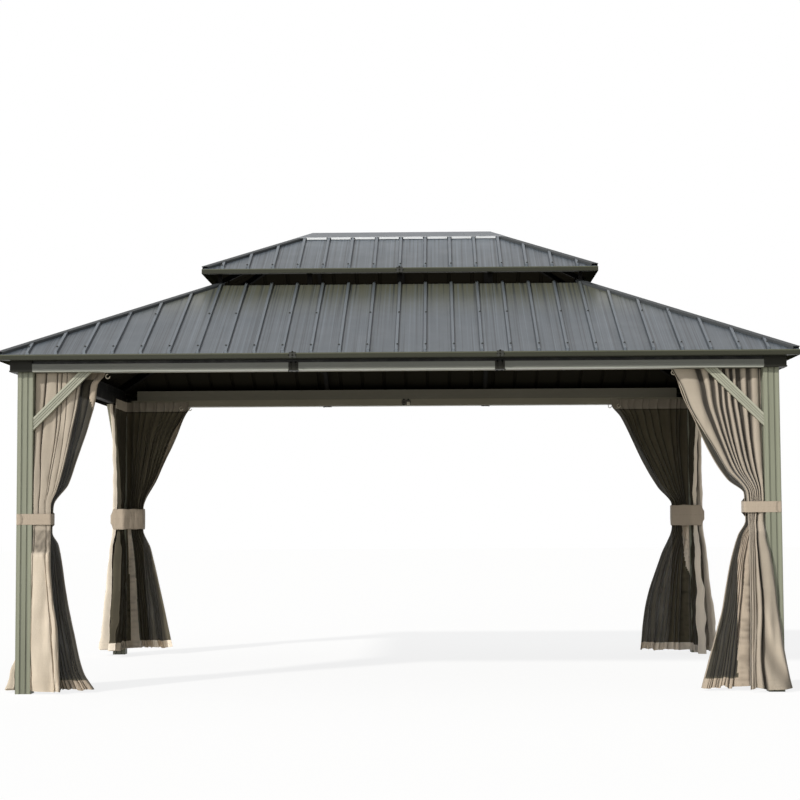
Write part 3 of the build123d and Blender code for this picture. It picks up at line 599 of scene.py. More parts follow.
def smooth_through(keys, height):
    """Values between the rows of a table at a height, with no overshoot. Rows run from top to hem."""
    if height >= keys[0][0]:
        return keys[0][1:]
    if height <= keys[-1][0]:
        return keys[-1][1:]
    index = next(i for i in range(len(keys) - 1) if keys[i + 1][0] <= height)
    upper, lower = keys[index], keys[index + 1]
    step = upper[0] - lower[0]
    share = (upper[0] - height) / step
    values = []
    for column in range(1, len(upper)):
        chord = (lower[column] - upper[column]) / step

        def slope(row):
            if row in (0, len(keys) - 1):
                return chord
            first = (keys[row][column] - keys[row - 1][column]) / (keys[row - 1][0] - keys[row][0])
            second = (keys[row + 1][column] - keys[row][column]) / (keys[row][0] - keys[row + 1][0])
            return 0 if first * second <= 0 else 2 * first * second / (first + second)

        start, end = slope(index) * step, slope(index + 1) * step
        square, cube = share ** 2, share ** 3
        values.append(
            upper[column] * (2 * cube - 3 * square + 1) + start * (cube - 2 * square + share)
            + lower[column] * (3 * square - 2 * cube) + end * (cube - square)
        )
    return values


# Heights in millimetres
CURTAIN_TOP, NET_TOP, TRACK_LOW = 1957, 1996, 1954
HEM, RAISED_HEM = 13, 46

# Rows from top to hem, in millimetres: height, then the gathered panel's near and far edge from the post's
# inner face, and its outer and inner face from the post's outer face.
FRONT_LEFT_CURTAIN = [
    (CURTAIN_TOP, 5, 286, 38, 70), (1780, 5, 264, 34, 70), (1607, 5, 232, 26, 66), (1400, 5, 190, 14, 58),
    (1238, 4, 146, 6, 48), (1142, 4, 111, 4, 46), (976, 4, 110, 4, 46), (828, 3, 112, -6, 46),
    (585, 3, 130, -14, 46), (399, 3, 160, -24, 46), (HEM, 3, 182, -42, 46),
]
FRONT_LEFT_NET = [
    (NET_TOP, 5, 428, 93, 104), (TRACK_LOW, 5, 424, 92, 104), (1890, 5, 378, 76, 102), (1787, 5, 366, 73, 99),
    (1651, 5, 331, 70, 99), (1417, 5, 253, 64, 99), (1275, 5, 205, 58, 98), (1142, 5, 116, 51, 94),
    (976, 5, 109, 51, 94), (904, 22, 145, 51, 98), (537, 60, 206, 53, 104), (257, 84, 268, 54, 108),
    (126, 96, 302, 55, 110), (HEM, 104, 368, 56, 112),
]
FRONT_RIGHT_CURTAIN = [
    (CURTAIN_TOP, 5, 550, 38, 70), (1853, 5, 492, 37, 70), (1730, 5, 446, 34, 68), (1600, 5, 376, 28, 64),
    (1472, 5, 298, 20, 58), (1337, 4, 222, 12, 52), (1195, 4, 112, 4, 47), (1030, 4, 104, 2, 46),
    (947, 4, 106, -44, -3), (820, -23, 108, -50, -4), (502, -62, 112, -58, -4), (209, -101, 116, -66, -4),
    (HEM, -140, 122, -80, -4),
]
FRONT_RIGHT_NET = [
    (NET_TOP, 5, 520, 93, 104), (TRACK_LOW, 5, 520, 92, 104), (1830, 5, 492, 74, 99), (1640, 5, 408, 70, 99),
    (1442, 5, 318, 64, 99), (1280, 5, 215, 57, 97), (1195, 5, 118, 51, 94), (1030, 6, 112, 51, 94),
    (940, 50, 158, 51, 98), (766, 82, 208, 52, 102), (499, 86, 259, 53, 106), (330, 88, 305, 54, 109),
    (HEM, 92, 392, 56, 112),
]
BACK_LEFT_CURTAIN = [
    (CURTAIN_TOP, 5, 512, 38, 70), (1896, 5, 470, 37, 70), (1681, 5, 381, 31, 66), (1537, 5, 311, 24, 62),
    (1378, 5, 238, 15, 56), (1150, 4, 130, 4, 46), (985, 4, 128, 3, 46), (838, 4, 130, -6, 46),
    (473, 4, 150, -22, 46), (RAISED_HEM, 4, 184, -42, 46),
]
BACK_LEFT_NET = [
    (NET_TOP, 2, 500, 93, 104), (TRACK_LOW, 2, 496, 92, 104), (1860, 2, 440, 75, 99), (1744, 2, 372, 71, 99),
    (1640, 2, 330, 69, 99), (1425, 2, 250, 62, 98), (1150, 2, 136, 51, 94), (985, 2, 136, 51, 94),
    (838, 6, 196, 52, 100), (473, 7, 284, 54, 106), (RAISED_HEM, 8, 378, 56, 112),
]
BACK_RIGHT_CURTAIN = [
    (CURTAIN_TOP, 5, 566, 38, 70), (1860, 5, 500, 36, 70), (1600, 5, 372, 28, 64), (1400, 5, 262, 16, 57),
    (1158, 4, 130, 4, 46), (992, 4, 128, 3, 46), (763, 4, 132, -8, 46), (347, 4, 160, -28, 46),
    (HEM, 4, 184, -42, 46),
]
BACK_RIGHT_NET = [
    (NET_TOP, 2, 606, 93, 104), (TRACK_LOW, 2, 604, 92, 104), (1860, 2, 534, 74, 99), (1680, 2, 446, 70, 99),
    (1498, 2, 362, 66, 99), (1300, 2, 246, 58, 97), (1158, 2, 136, 51, 94), (992, 2, 136, 51, 94),
    (763, 3, 226, 52, 101), (347, 3, 360, 55, 108), (HEM, 4, 400, 56, 112),
]


def side_curtain(corner):
    tie, flare = TIE_HEIGHTS[corner], SIDE_FLARES[corner]
    turn = 260 if corner == "front_left" else tie - 240
    return [
        (CURTAIN_TOP, 5, 430, 38, 70), (1850, 5, 370, 36, 70), (1605, 5, 250, 27, 62),
        (tie + 200, 4, 150, 12, 54), (tie + 84, 4, 111, 4, 46), (tie - 84, 4, 110, 4, 40),
        (turn, 4, 130, 4 - flare * 0.16, 18), (turn * 0.5, 4, 158, 4 - flare * 0.6, 14),
        (HEMS[corner], 4, 184, 4 - flare, 12),
    ]


def side_net(corner):
    tie = TIE_HEIGHTS[corner]
    return [
        (NET_TOP, 5, 478, 93, 104), (TRACK_LOW, 5, 478, 92, 104), (1850, 5, 440, 74, 99),
        (1605, 5, 330, 68, 99), (tie + 200, 5, 200, 60, 98), (tie + 84, 5, 118, 51, 94),
        (tie - 84, 5, 118, 46, 94), (tie - 240, 8, 196, 34, 100), (480, 14, 280, 24, 106),
        (HEMS[corner], 18, 374, 18, 112),
    ]


HEMS = {"front_left": HEM, "front_right": HEM, "back_left": RAISED_HEM, "back_right": HEM}
SIDE_FLARES = {"front_left": 104, "front_right": 0, "back_left": 95, "back_right": 95}
PANELS = {
    "front_left": (FRONT_LEFT_CURTAIN, FRONT_LEFT_NET),
    "front_right": (FRONT_RIGHT_CURTAIN, FRONT_RIGHT_NET),
    "back_left": (BACK_LEFT_CURTAIN, BACK_LEFT_NET),
    "back_right": (BACK_RIGHT_CURTAIN, BACK_RIGHT_NET),
}
# Shares of the folds from the post outwards, at the track, at the tie and at the hem
FRONT_FOLDS = {
    "front_left": (
        (1.2, 1.6, 0.45, 0.5, 1.2, 0.4), (1.6, 1.9, 0.25, 1.2, 0.2, 0.2), (0.10, 7.0, 0.22, 1.2, 0.22, 0.18),
    ),
    "front_right": (
        (1.3, 0.9, 0.5, 1.0, 0.5, 0.7, 0.8, 2.1), (1.4, 0.9, 0.6, 0.9, 0.6, 0.7, 0.8, 1.3),
        (6.6, 2.2, 0.02, 0.02, 1.2, 0.02, 0.02, 0.02),
    ),
}
SIDE_FOLDS = 9
NET_FOLDS = 11
# How a cloth hangs: range of the gaps' share, how round its folds are, how far they lean over the gaps,
# how soon it settles under the tie, how dark the painted shade in its gaps is, and its depth of painted shade
# all over
HANGS = {
    "front_left": ((0.16, 0.34), (0.16, 0.40), 0.10, 0.14, 0.92, 0.36),
    "front_right": ((0.45, 0.78), (0.45, 0.8), 0.02, 0.22, 1.0, 0.38),
    "back": ((0.25, 0.45), (0.4, 0.8), 0.06, 0.5, 0.85, 0.12),
    "side": ((0.25, 0.45), (0.4, 0.8), 0.06, 0.5, 0.75, 0.0),
    # The front nets carry a deep painted shade all over
    "front_net": ((0.10, 0.35), (0.5, 1.0), 0.05, 0.6, 0.60, 0.73),
    "back_net": ((0.10, 0.35), (0.5, 1.0), 0.05, 0.6, 0.60, 0.0),
    "back_side_net": ((0.10, 0.35), (0.5, 1.0), 0.05, 0.6, 0.60, 0.36),
}
# Rows from top to hem: height, then where the cloth band near a net's edge at the post starts and ends
NET_FACINGS = {
    "front_left": [(NET_TOP, 0, 8), (HEM, 0, 8)],
    "front_right": [(NET_TOP, 0, 8), (1120, 0, 8), (1100, 0, 84), (HEM, 0, 84)],
    "back_left": [(NET_TOP, 0, 0), (1080, 0, 0), (1060, 3, 24), (RAISED_HEM, 30, 108)],
    "back_right": [
        (NET_TOP, 0, 0), (1090, 0, 0), (1070, 0, 52), (980, 0, 52), (700, 0, 30), (600, 0, 0), (HEM, 0, 0),
    ],
}
SIDE_FACING = [(NET_TOP, 0, 0), (HEM, 0, 0)]
# Share of the fold that lies in that band
FACING_FOLDS = {"front_left": 1.0, "front_right": 8.5, "back_left": 5.0, "back_right": 3.0}
# Rows from top to hem: height, then the width of the cloth band down a net's free edge
NO_BAND, SELVEDGE = [(NET_TOP, 0), (HEM, 0)], [(NET_TOP, 9), (HEM, 9)]
FREE_EDGES = {
    "front_left_x": [(NET_TOP, 60), (1830, 50), (1710, 14), (HEM, 9)],
    "front_right_x": SELVEDGE, "back_left_x": SELVEDGE, "back_right_x": SELVEDGE,
    "back_right_y": [(NET_TOP, 75), (HEM, 75)],
}
# Millimetres: folds narrower than the first lose their depth, and no crisp gap is wider than the second
SLIM_FOLD, WIDEST_GAP = 13, 36
CRISP = 0.95  # gaps darker than this are crisp


def outer_corner(corner):
    """Where the outer faces of a corner's post are, along X and Y."""
    low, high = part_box(f"post_{corner}")
    return [(low if sign < 0 else high)[axis] for axis, sign in enumerate(CORNERS[corner])]


def lay_flat(mesh, places):
    """Smooths a cloth and writes each vertex's place on it when flat, in metres, to its UV map."""
    layer = mesh.loops.layers.uv.new("cloth")
    for face in mesh.faces:
        face.smooth = True
        for loop in face.loops:
            loop[layer].uv = places[loop.vert]


class Gather:
    """A panel gathered at the track, held in by its tie and fanning out to its hem."""

    def __init__(self, corner, along, table, folds, hang, seed):
        self.signs = CORNERS[corner]
        self.along = along
        self.table = table
        self.tie = TIE_HEIGHTS[corner]
        self.seed = seed
        gaps, rounds, self.lap, self.settle, self.dark, self.shade = hang
        self.crisp = self.dark > CRISP
        self.crimp = 0.0
        draw = random.Random(seed)
        if isinstance(folds, int):
            folds = [[draw.uniform(0.3, 2.0) for _ in range(folds)] for _ in range(3)]
        self.widths = folds
        self.folds = len(folds[0])
        self.depths = [draw.uniform(0.74, 1.0) for _ in range(self.folds + 1)]
        self.gaps = [draw.uniform(*gaps) for _ in range(self.folds)]
        self.strengths = [draw.uniform(0.9 if self.crisp else 0.5, 1.0) for _ in range(self.folds + 1)]
        self.rounds = [draw.uniform(*rounds) for _ in range(self.folds)]
        self.leans = [draw.uniform(-1, 1) for _ in range(self.folds)]
        self.outer = outer_corner(corner)

    def world(self, near, inward, height):
        """From the post's inner face, its outer face and the ground, in millimetres, to the shared frame."""
        run, cross = (0, 1) if self.along == "x" else (1, 0)
        point = Vector((0, 0, height * MM))
        point[run] = self.outer[run] - self.signs[run] * (POST_SIDE + near) * MM
        point[cross] = self.outer[cross] - self.signs[cross] * inward * MM
        return point

    def row(self, height):
        """Fold lines and faces of the gathered panel at one height."""
        near, far, outer, inner = smooth_through(self.table, height)
        top, hem = self.table[0][0], self.table[-1][0]
        if height > self.tie:
            mix = (height - self.tie) / (top - self.tie)
            end = self.widths[0]
        else:
            mix = ((self.tie - height) / (self.tie - hem)) ** self.settle
            end = self.widths[2]
        widths = [a + (b - a) * mix for a, b in zip(self.widths[1], end)]
        # 0 at the tie, where the cloth is held, and 1 well away from it
        free = 1 - math.exp(-(((height - self.tie) / 170) ** 2))
        for index in range(self.folds):
            drift = noise.noise((index * 3.7 + self.seed, height / 420, 0.5))
            widths[index] *= 1 + 0.45 * drift * free
        total = sum(widths)
        lines = [near]
        for width in widths:
            lines.append(lines[-1] + (far - near) * width / total)
        return lines, outer, inner, free

    def crown(self, index, width, above):
        """Share of a fold that is its rounded front. The rest turns into the gaps beside it."""
        shut = 0.62 if self.crisp else 0.45
        spread = shut + (1 - shut) * above if above > 0 else max(0.2, shut + above * 0.22)
        crown = 1 - self.gaps[index] * spread
        if self.crisp and above > 0:
            crown = max(crown, 1 - WIDEST_GAP / max(width, WIDEST_GAP))
        return crown

    def rumple(self, spot, near, width, height):
        """Uneven depth of the cloth: long waves, creases drawn in by the tie and small limp dents."""
        wave = noise.noise((spot * 0.9 + self.seed, height / 210, 3.1)) * 0.14
        broad = min(1.0, width / 120)
        swell = noise.noise((near / 38, height / 320, self.seed + 6.6)) * (0.14 + 0.2 * broad)
        pulled = math.exp(-(((height - self.tie) / 230) ** 2))
        crease = noise.noise((spot * 3.1 + height / 60, height / 48, self.seed + 9.1)) * 0.20 * pulled
        return wave + swell + crease + noise.noise((spot * 1.7, height / 95, self.seed + 4.3)) * 0.13

    def gap_shade(self, spot, phase, crown, above, height):
        """Painted shade in a gap and on a fold's flanks, most on the one away from the key lamp; its two free
        edges stay light.
        """
        if min(spot, self.folds - spot) < 0.5 * (1 - crown):
            return 0.0
        side = abs(2 * phase - 1)
        gap = clamp((side - crown * 0.94) / (1 - crown * 0.94))
        strength = self.strengths[round(spot)]
        if self.crisp:
            strength *= 0.88 + 0.12 * clamp(above * 4)
            gap = min(1.0, gap * 5)
        else:
            patchy = noise.noise((round(spot) * 2.9, height / 160, self.seed)) * 0.5
            strength = min(1.0, strength * (1 + patchy)) * (0.35 + 0.65 * max(above, 0.6))
            gap = gap ** 0.45
        flank = max(0.0, (side - crown * 0.35) / (1 - crown * 0.35)) ** 1.5
        flank *= 0.55 if (phase < 0.5) == (self.signs[0] > 0) else 0.12
        return self.dark * max(gap * strength, flank)

    def point(self, share, height, row):
        """Where a point of the cloth hangs, along the track and into the room, and its painted shade."""
        lines, outer, inner, free = row
        spot = min(share * self.folds, self.folds - 1e-6)
        index = int(spot)
        step = spot - index
        # 0 and 1 in the gaps beside a fold and 0.5 on its front, with more of the columns near the gaps
        phase = step - 0.11 * math.sin(math.tau * step)
        side = abs(2 * phase - 1)
        width = lines[index + 1] - lines[index]
        # Narrow folds lie flatter, and so do the flanks of the folds beside them
        beside = min(max(index + (1 if phase > 0.5 else -1), 0), self.folds - 1)
        slim = min(1.0, width / SLIM_FOLD)
        slim += (min(slim, (lines[beside + 1] - lines[beside]) / SLIM_FOLD) - slim) * side * side
        above = (height - self.tie) / (self.table[0][0] - self.tie)
        crown = self.crown(index, width, above)
        # A rounded front, then a steep way down into the gap
        tube = self.rounds[index]
        if side < crown:
            deep = tube * (1 - math.sqrt(1 - (side / crown) ** 2))
        else:
            deep = tube + (1 - tube) * ((side - crown) / (1 - crown)) ** 0.6
        keep = self.depths[index] * (1 - phase) + self.depths[index + 1] * phase
        keep *= 1 + 0.30 * noise.noise((round(spot) * 5.3 + self.seed, height / 300, 7.7)) * free
        overhang = -math.sin(math.tau * phase) * self.lap
        lean = self.leans[index] * math.sin(math.pi * phase) * 0.16
        near = lines[index] + (phase + overhang + lean) * width
        depth = clamp(0.14 + 0.86 * deep * keep * slim + self.rumple(spot, near, width, height) * free)
        inward = outer + (inner - outer) * depth
        shade = self.gap_shade(spot, phase, crown, above, height) * slim
        # The cloth band of a net puckers below the tie, with painted shade in the puckers
        if self.crimp and spot < 1 and above < 0:
            pucker = noise.noise((spot * 2.4, height / 17, self.seed + 1.7)) * free * min(1.0, (1 - spot) * 3)
            inward += self.crimp * pucker
            shade = max(shade, 0.9 * pucker)
        return min(max(near, lines[0]), lines[-1]), inward, 1 - (1 - shade) * (1 - self.shade)


CLOTH_ROWS, FOLD_COLUMNS = 130, 16
HEM_LIFT, HEM_REACH = 15, 80  # millimetres that a hem rises unevenly, and how far up that is felt


def hang(gather, bulge=None):
    """A grid of cloth moved into its gathers, with its flat size as a UV map in metres and its painted shade.
    """
    rows, columns = CLOTH_ROWS, gather.folds * FOLD_COLUMNS
    mesh = bmesh.new()
    bmesh.ops.create_grid(mesh, x_segments=columns, y_segments=rows, size=1)
    top, hem = gather.table[0][0], gather.table[-1][0]
    shaded = mesh.verts.layers.float.new("shade")
    heights = [top + (hem - top) * line / rows for line in range(rows + 1)]
    levels = [gather.row(height) for height in heights]
    spots = {}
    for vertex in mesh.verts:
        column = round((vertex.co.x + 1) / 2 * columns)
        line = round((1 - vertex.co.y) / 2 * rows)
        spots[vertex] = (column, line)
        share, height = column / columns, heights[line]
        near, inward, shade = gather.point(share, height, levels[line])
        if bulge:
            near, inward, shade = bulge(near, inward, height, share, shade)
        drop = noise.noise((column / FOLD_COLUMNS * 0.8, gather.seed, 2.5)) + 0.5
        lift = HEM_LIFT * max(0.0, drop) * math.exp((hem - height) / HEM_REACH)
        vertex.co = gather.world(near, inward, height + lift)
        vertex[shaded] = shade
    length = (top - hem) * MM
    area = sum(face.calc_area() for face in mesh.faces)
    width = round(area / length, 2)
    lay_flat(mesh, {
        vertex: (column / columns * width, (1 - line / rows) * length)
        for vertex, (column, line) in spots.items()
    })
    return mesh, (width, round(length, 2))


SLIP_FROM, DRAPE_FROM = 985, 960  # heights in millimetres, hidden by the tie bands or just under them


def slip(near, inward, height, share, shade):
    """Outer folds of the front left curtain slip out over a cloth roll under the tie, painted shaded above it
    and lit below.
    """
    if height > SLIP_FROM:
        return near, inward, shade
    edge = min(1.0, (1 - share) / 0.2)
    below = clamp((864 - height) / 16)
    fall = math.exp(-max(0.0, 850 - height) / 300)
    ruffle = 5 * math.sin(near / 5.0) * math.exp(-(((height - 840) / 14) ** 2))
    crush = noise.noise((near / 16, height / 26, 2.2)) * (1 - below)
    # Painted shade above the roll; below it the cloth is painted lighter
    shade = shade + (1 - below) * (0.26 + 0.3 * crush) * edge - below * 0.34 * edge
    return near, inward - (30 * below * fall + ruffle + 5 * crush) * edge, clamp(shade)


def drape(near, inward, height, share, shade):
    """A slack fold runs down across the front right curtain's broad outer panel, with painted shade and
    highlight.
    """
    step = share * len(FRONT_FOLDS["front_right"][0])
    if height > DRAPE_FROM or step > 1:
        return near, inward, shade
    side = min(1.0, (1 - step) * 8) * min(1.0, step * 8)
    off = step - 0.28 - 0.72 * height / 430
    valley = math.exp(-((off / 0.17) ** 2)) * clamp((600 - height) / 160)
    crest = math.exp(-(((off + 0.30) / 0.16) ** 2)) * clamp((700 - height) / 300)
    hollow = step * clamp((height - 330) / 200) * 0.16
    # Painted shade in the valley, a painted highlight on the crest and painted shade across the upper panel
    shade += side * (0.30 * valley - 0.14 * crest + hollow)
    return near, inward + side * (18 * valley - 9 * crest), clamp(shade)


BULGES = {"curtain_front_left_x": slip, "curtain_front_right_x": drape}


def background_seen(tree):
    """Output that is 1 where the background is seen, straight or in a reflection, and 0 where it lights."""
    path = tree.nodes.new("ShaderNodeLightPath")
    seen = path.outputs["Is Camera Ray"]
    for kind in ("Is Glossy Ray", "Is Transmission Ray"):
        either = tree.nodes.new("ShaderNodeMath")
        either.operation = "MAXIMUM"
        tree.links.new(seen, either.inputs[0])
        tree.links.new(path.outputs[kind], either.inputs[1])
        seen = either.outputs[0]
    return seen


class GAZEBO_OT_stage(bpy.types.Operator):
    """Camera, key and fill lamps, even light and pale floor"""
    bl_idname = "gazebo.stage"
    bl_label = "Stage"

    def execute(self, context):
        stage = context.scene.gazebo_stage
        context.scene.view_settings.view_transform = "Standard"
        self.camera(context, stage)
        self.lamp(context, "key", stage.sun_strength, stage.sun_softness, stage.sun_from, (1.0, 0.97, 0.92))
        self.lamp(context, "fill", stage.fill_strength, stage.fill_softness, stage.fill_from)
        self.sky(context, stage)
        self.floor(context, stage)
        return {"FINISHED"}

    def lamp(self, context, name, strength, softness, source, colour=(1, 1, 1)):
        data = bpy.data.lights.new(name, "SUN")
        data.energy = strength
        data.angle = softness
        data.color = colour
        lamp = bpy.data.objects.new(name, data)
        lamp.rotation_euler = Vector(source).to_track_quat("Z", "Y").to_euler()
        context.scene.collection.objects.link(lamp)

    def camera(self, context, stage):
        data = bpy.data.cameras.new("view")
        data.lens = stage.lens
        data.sensor_width = SENSOR
        data.clip_end = 200
        yaw, pitch, roll = stage.aim
        place = Matrix.Translation(stage.eye)
        for angle, axis in ((yaw, "Z"), (math.pi / 2 + pitch, "X"), (roll, "Z")):
            place = place @ Matrix.Rotation(angle, 4, axis)
        view = bpy.data.objects.new("view", data)
        view.matrix_world = place
        context.scene.collection.objects.link(view)
        context.scene.camera = view

    def sky(self, context, stage):
        world = bpy.data.worlds.new("sky")
        world.use_nodes = True
        context.scene.world = world
        tree = world.node_tree
        light = tree.nodes["Background"]
        light.inputs["Color"].default_value = (0.93, 0.96, 1.0, 1.0)
        light.inputs["Strength"].default_value = stage.sky_strength
        white = tree.nodes.new("ShaderNodeBackground")
        white.inputs["Color"].default_value = (1, 1, 1, 1)
        choose = tree.nodes.new("ShaderNodeMixShader")
        tree.links.new(background_seen(tree), choose.inputs[0])
        tree.links.new(light.outputs[0], choose.inputs[1])
        tree.links.new(white.outputs[0], choose.inputs[2])
        tree.links.new(choose.outputs[0], tree.nodes["World Output"].inputs["Surface"])

    def floor(self, context, stage):
        mesh = bmesh.new()
        bmesh.ops.create_grid(mesh, x_segments=4, y_segments=4, size=60)
        data = bpy.data.meshes.new("floor")
        mesh.to_mesh(data)
        mesh.free()
        finish = Finish("floor")
        seen = Wire(finish, background_seen(finish.tree))
        pale = finish.add("ShaderNodeBsdfDiffuse", {}, (*stage.floor_colour, 1))
        white = finish.add("ShaderNodeEmission", {}, (1, 1, 1, 1), 1.07)
        shadowed = finish.add("ShaderNodeMixShader", {}, 0.78, pale, white)
        dull = finish.add("ShaderNodeBsdfDiffuse", {}, (*stage.floor_bounce, 1))
        finish.show(finish.add("ShaderNodeMixShader", {}, seen, dull, shadowed))
        data.materials.append(finish.material)
        floor = bpy.data.objects.new("floor", data)
        context.scene.collection.objects.link(floor)


# How the run marks of a coat are stretched
LEVEL, EVEN = (0.06, 0.06, 1), (0.3, 0.3, 0.3)
# Side fascias: a darker, matt copy of the fascia coat, as painted shade
SIDE_FASCIA = ("side fascia coat", "fascia", 0.6, LEVEL, 0.85, 0.0)
# Side beams: painted shade all over but for their outer face
SIDE_BEAM = ("side beam coat", "beam", 1, LEVEL, 0.7, 0.0, side_beam_shade, 1.3, 0.03)
# Coats by node or else by slot: material, setting of its colour, a share of that, and more for satin_finish
COATS = {
    "lower_fascia_left": SIDE_FASCIA, "lower_fascia_right": SIDE_FASCIA,
    "upper_fascia_left": SIDE_FASCIA, "upper_fascia_right": SIDE_FASCIA,
    "left_beam": SIDE_BEAM, "right_beam": SIDE_BEAM,
    "fascia_clips": ("clip coat", "fascia", 0.5),
    "rail_joiners": ("joiner coat", "rail", 0.3),
    "fascia_paint": ("olive fascia coat", "fascia", 1, LEVEL, 0.44, 0.12, fascia_lines, 5.0),
    "beam_paint": ("grey beam coat", "beam", 1, LEVEL, 0.42, 0.2, beam_shadow_and_highlight, 3.8, 0.03),
    "frame_paint": ("sage post coat", "post", 1, (1, 1, 0.05), 0.42, 0.25, post_lines),
    "brace_paint": ("sage brace coat", "brace", 1, EVEN, 0.42, 0.25, brace_lines),
    "inner_frame_paint": ("roof frame coat", "inner", 1, EVEN, 0.62, 0.05),
    # Tracks: painted shade near the roof's ends
    "rail_paint": ("track coat", "rail", 1, LEVEL, 0.55, 0.08, roof_end_shade, 1.3, 0.02),
    "dark_casting": ("dark casting coat", "casting", 1, (1, 1, 0.3), 0.50, 0.10),
    "cap_paint": ("blue-grey cap coat", "cap", 1, (0.2, 0.2, 0.2), 0.46, 0.15),
}


class GAZEBO_OT_finishes(bpy.types.Operator):
    """Paint on every metal node of the frame and roof"""
    bl_idname = "gazebo.finishes"
    bl_label = "Metal finishes"

    def execute(self, context):
        metal = context.scene.gazebo_metal
        slots = {part["node"]: part["material_slot"] for part in frame["record"]["subparts"]}
        for node, shown in frame["nodes"].items():
            slot = slots[node]
            if slot == "roof_paint":
                tier, _, side = node.split("_")
                axis = SIDES[side][0]
                name = f"blue-grey {tier} sheet {'xy'[axis]}"
                material = finish_named(name, roof_finish, metal, axis, getattr(metal, f"{tier}_rib"))
            elif node == "ridge_cap":
                material = finish_named("ridge cap coat", ridge_finish, metal)
            elif node in COATS or slot in COATS:
                name, setting, share, *facts = COATS.get(node) or COATS[slot]
                colour = [part * share for part in getattr(metal, setting)]
                material = finish_named(name, satin_finish, colour, *facts)
            else:
                continue
            if shown.material_slots:
                shown.material_slots[0].material = material
            else:
                shown.data.materials.append(material)
        return {"FINISHED"}


# Metres: rows of screws up each slope from its eave, and how far they stay from the hips
SCREW_ROWS, HIP_MARGIN = {"lower": (0.095, 0.70), "upper": (0.035,)}, 0.06


class GAZEBO_OT_roof_screws(bpy.types.Operator):
    """Screws through the rib crests of both roofs"""
    bl_idname = "gazebo.roof_screws"
    bl_label = "Roof screws"

    def execute(self, context):
        metal = context.scene.gazebo_metal
        dark = finish_named("dark screw", plain_finish, metal.screw, 0.45, 0.3)
        for tier, rows in SCREW_ROWS.items():
            pitch, angle = getattr(metal, f"{tier}_rib"), getattr(metal, f"{tier}_slope")
            for side in SIDES:
                slope = Slope(tier, side, angle)
                mesh = bmesh.new()
                reach = int(slope.half / pitch)
                for rib in range(-reach, reach + 1):
                    for row, run in enumerate(rows):
                        left_out = row and abs(rib) % 3 == 2
                        if not left_out and slope.holds(rib * pitch, run, HIP_MARGIN):
                            off_middle = math.copysign(metal.screw_size, rib)
                            seat = slope.at(rib * pitch + off_middle, run, metal.rib_crest)
                            add_screw(mesh, frame_at(seat, slope.normal, slope.along), metal.screw_size)
                piece(f"{tier}_roof_screws_{side}", mesh, [dark])
        return {"FINISHED"}


def add_bar(mesh, low, high):
    """A plain bar between two corners."""
    size = [b - a for a, b in zip(low, high)]
    middle = [(a + b) / 2 for a, b in zip(low, high)]
    bmesh.ops.create_cube(mesh, size=1, matrix=Matrix.Translation(middle) @ Matrix.Diagonal((*size, 1)))


# Metres: height of a trim, its distance from the track's outer face, and how far it ends short of the posts
TRIM_HEIGHT, TRIM_INSET, TRIM_SHORT = 0.075, 0.045, 0.085


class GAZEBO_OT_trims(bpy.types.Operator):
    """Flat trims on the tracks, closing the gap under the eaves from inside"""
    bl_idname = "gazebo.trims"
    bl_label = "Inner trims"

    def execute(self, context):
        metal = context.scene.gazebo_metal
        # The trims take painted shade near the roof's ends
        facts = (metal.trim, LEVEL, 0.55, 0.08, roof_end_shade, 1.3, 0.02)
        coat = finish_named("inner trim coat", satin_finish, *facts)
        low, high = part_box("curtain_rails")
        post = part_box("post_front_left")[1]
        seat, top = high[2], high[2] + TRIM_HEIGHT
        bars = ((seat, top, 0.003), (seat + 0.018, seat + 0.023, 0.005), (top - 0.012, top, 0.006))
        for side, (run, cross, outward) in SIDES.items():
            face = (low if outward < 0 else high)[cross] - outward * TRIM_INSET
            reach = -post[run] - TRIM_SHORT
            mesh = bmesh.new()
            for foot, head, thick in bars:
                ends = [[-reach, face, foot], [reach, face - outward * thick, head]]
                for end in ends:
                    end[:2] = (end[run], end[cross])
                add_bar(mesh, *[[pick(a, b) for a, b in zip(*ends)] for pick in (min, max)])
            piece(f"inner_trim_{side}", mesh, [coat])
        return {"FINISHED"}


BOLT_SIZE, BOLT_SPREAD = 0.8, 0.7  # shares of a screw's size and of a plate's half height
# Rows of bolts on each plate of a node, and where they sit along it as shares of its half width
BOLTED = {"beam_sleeves": (2, (-0.5, 0.5)), "fascia_clips": (1, (0.0,)), "rail_joiners": (1, (-0.5, 0.5))}


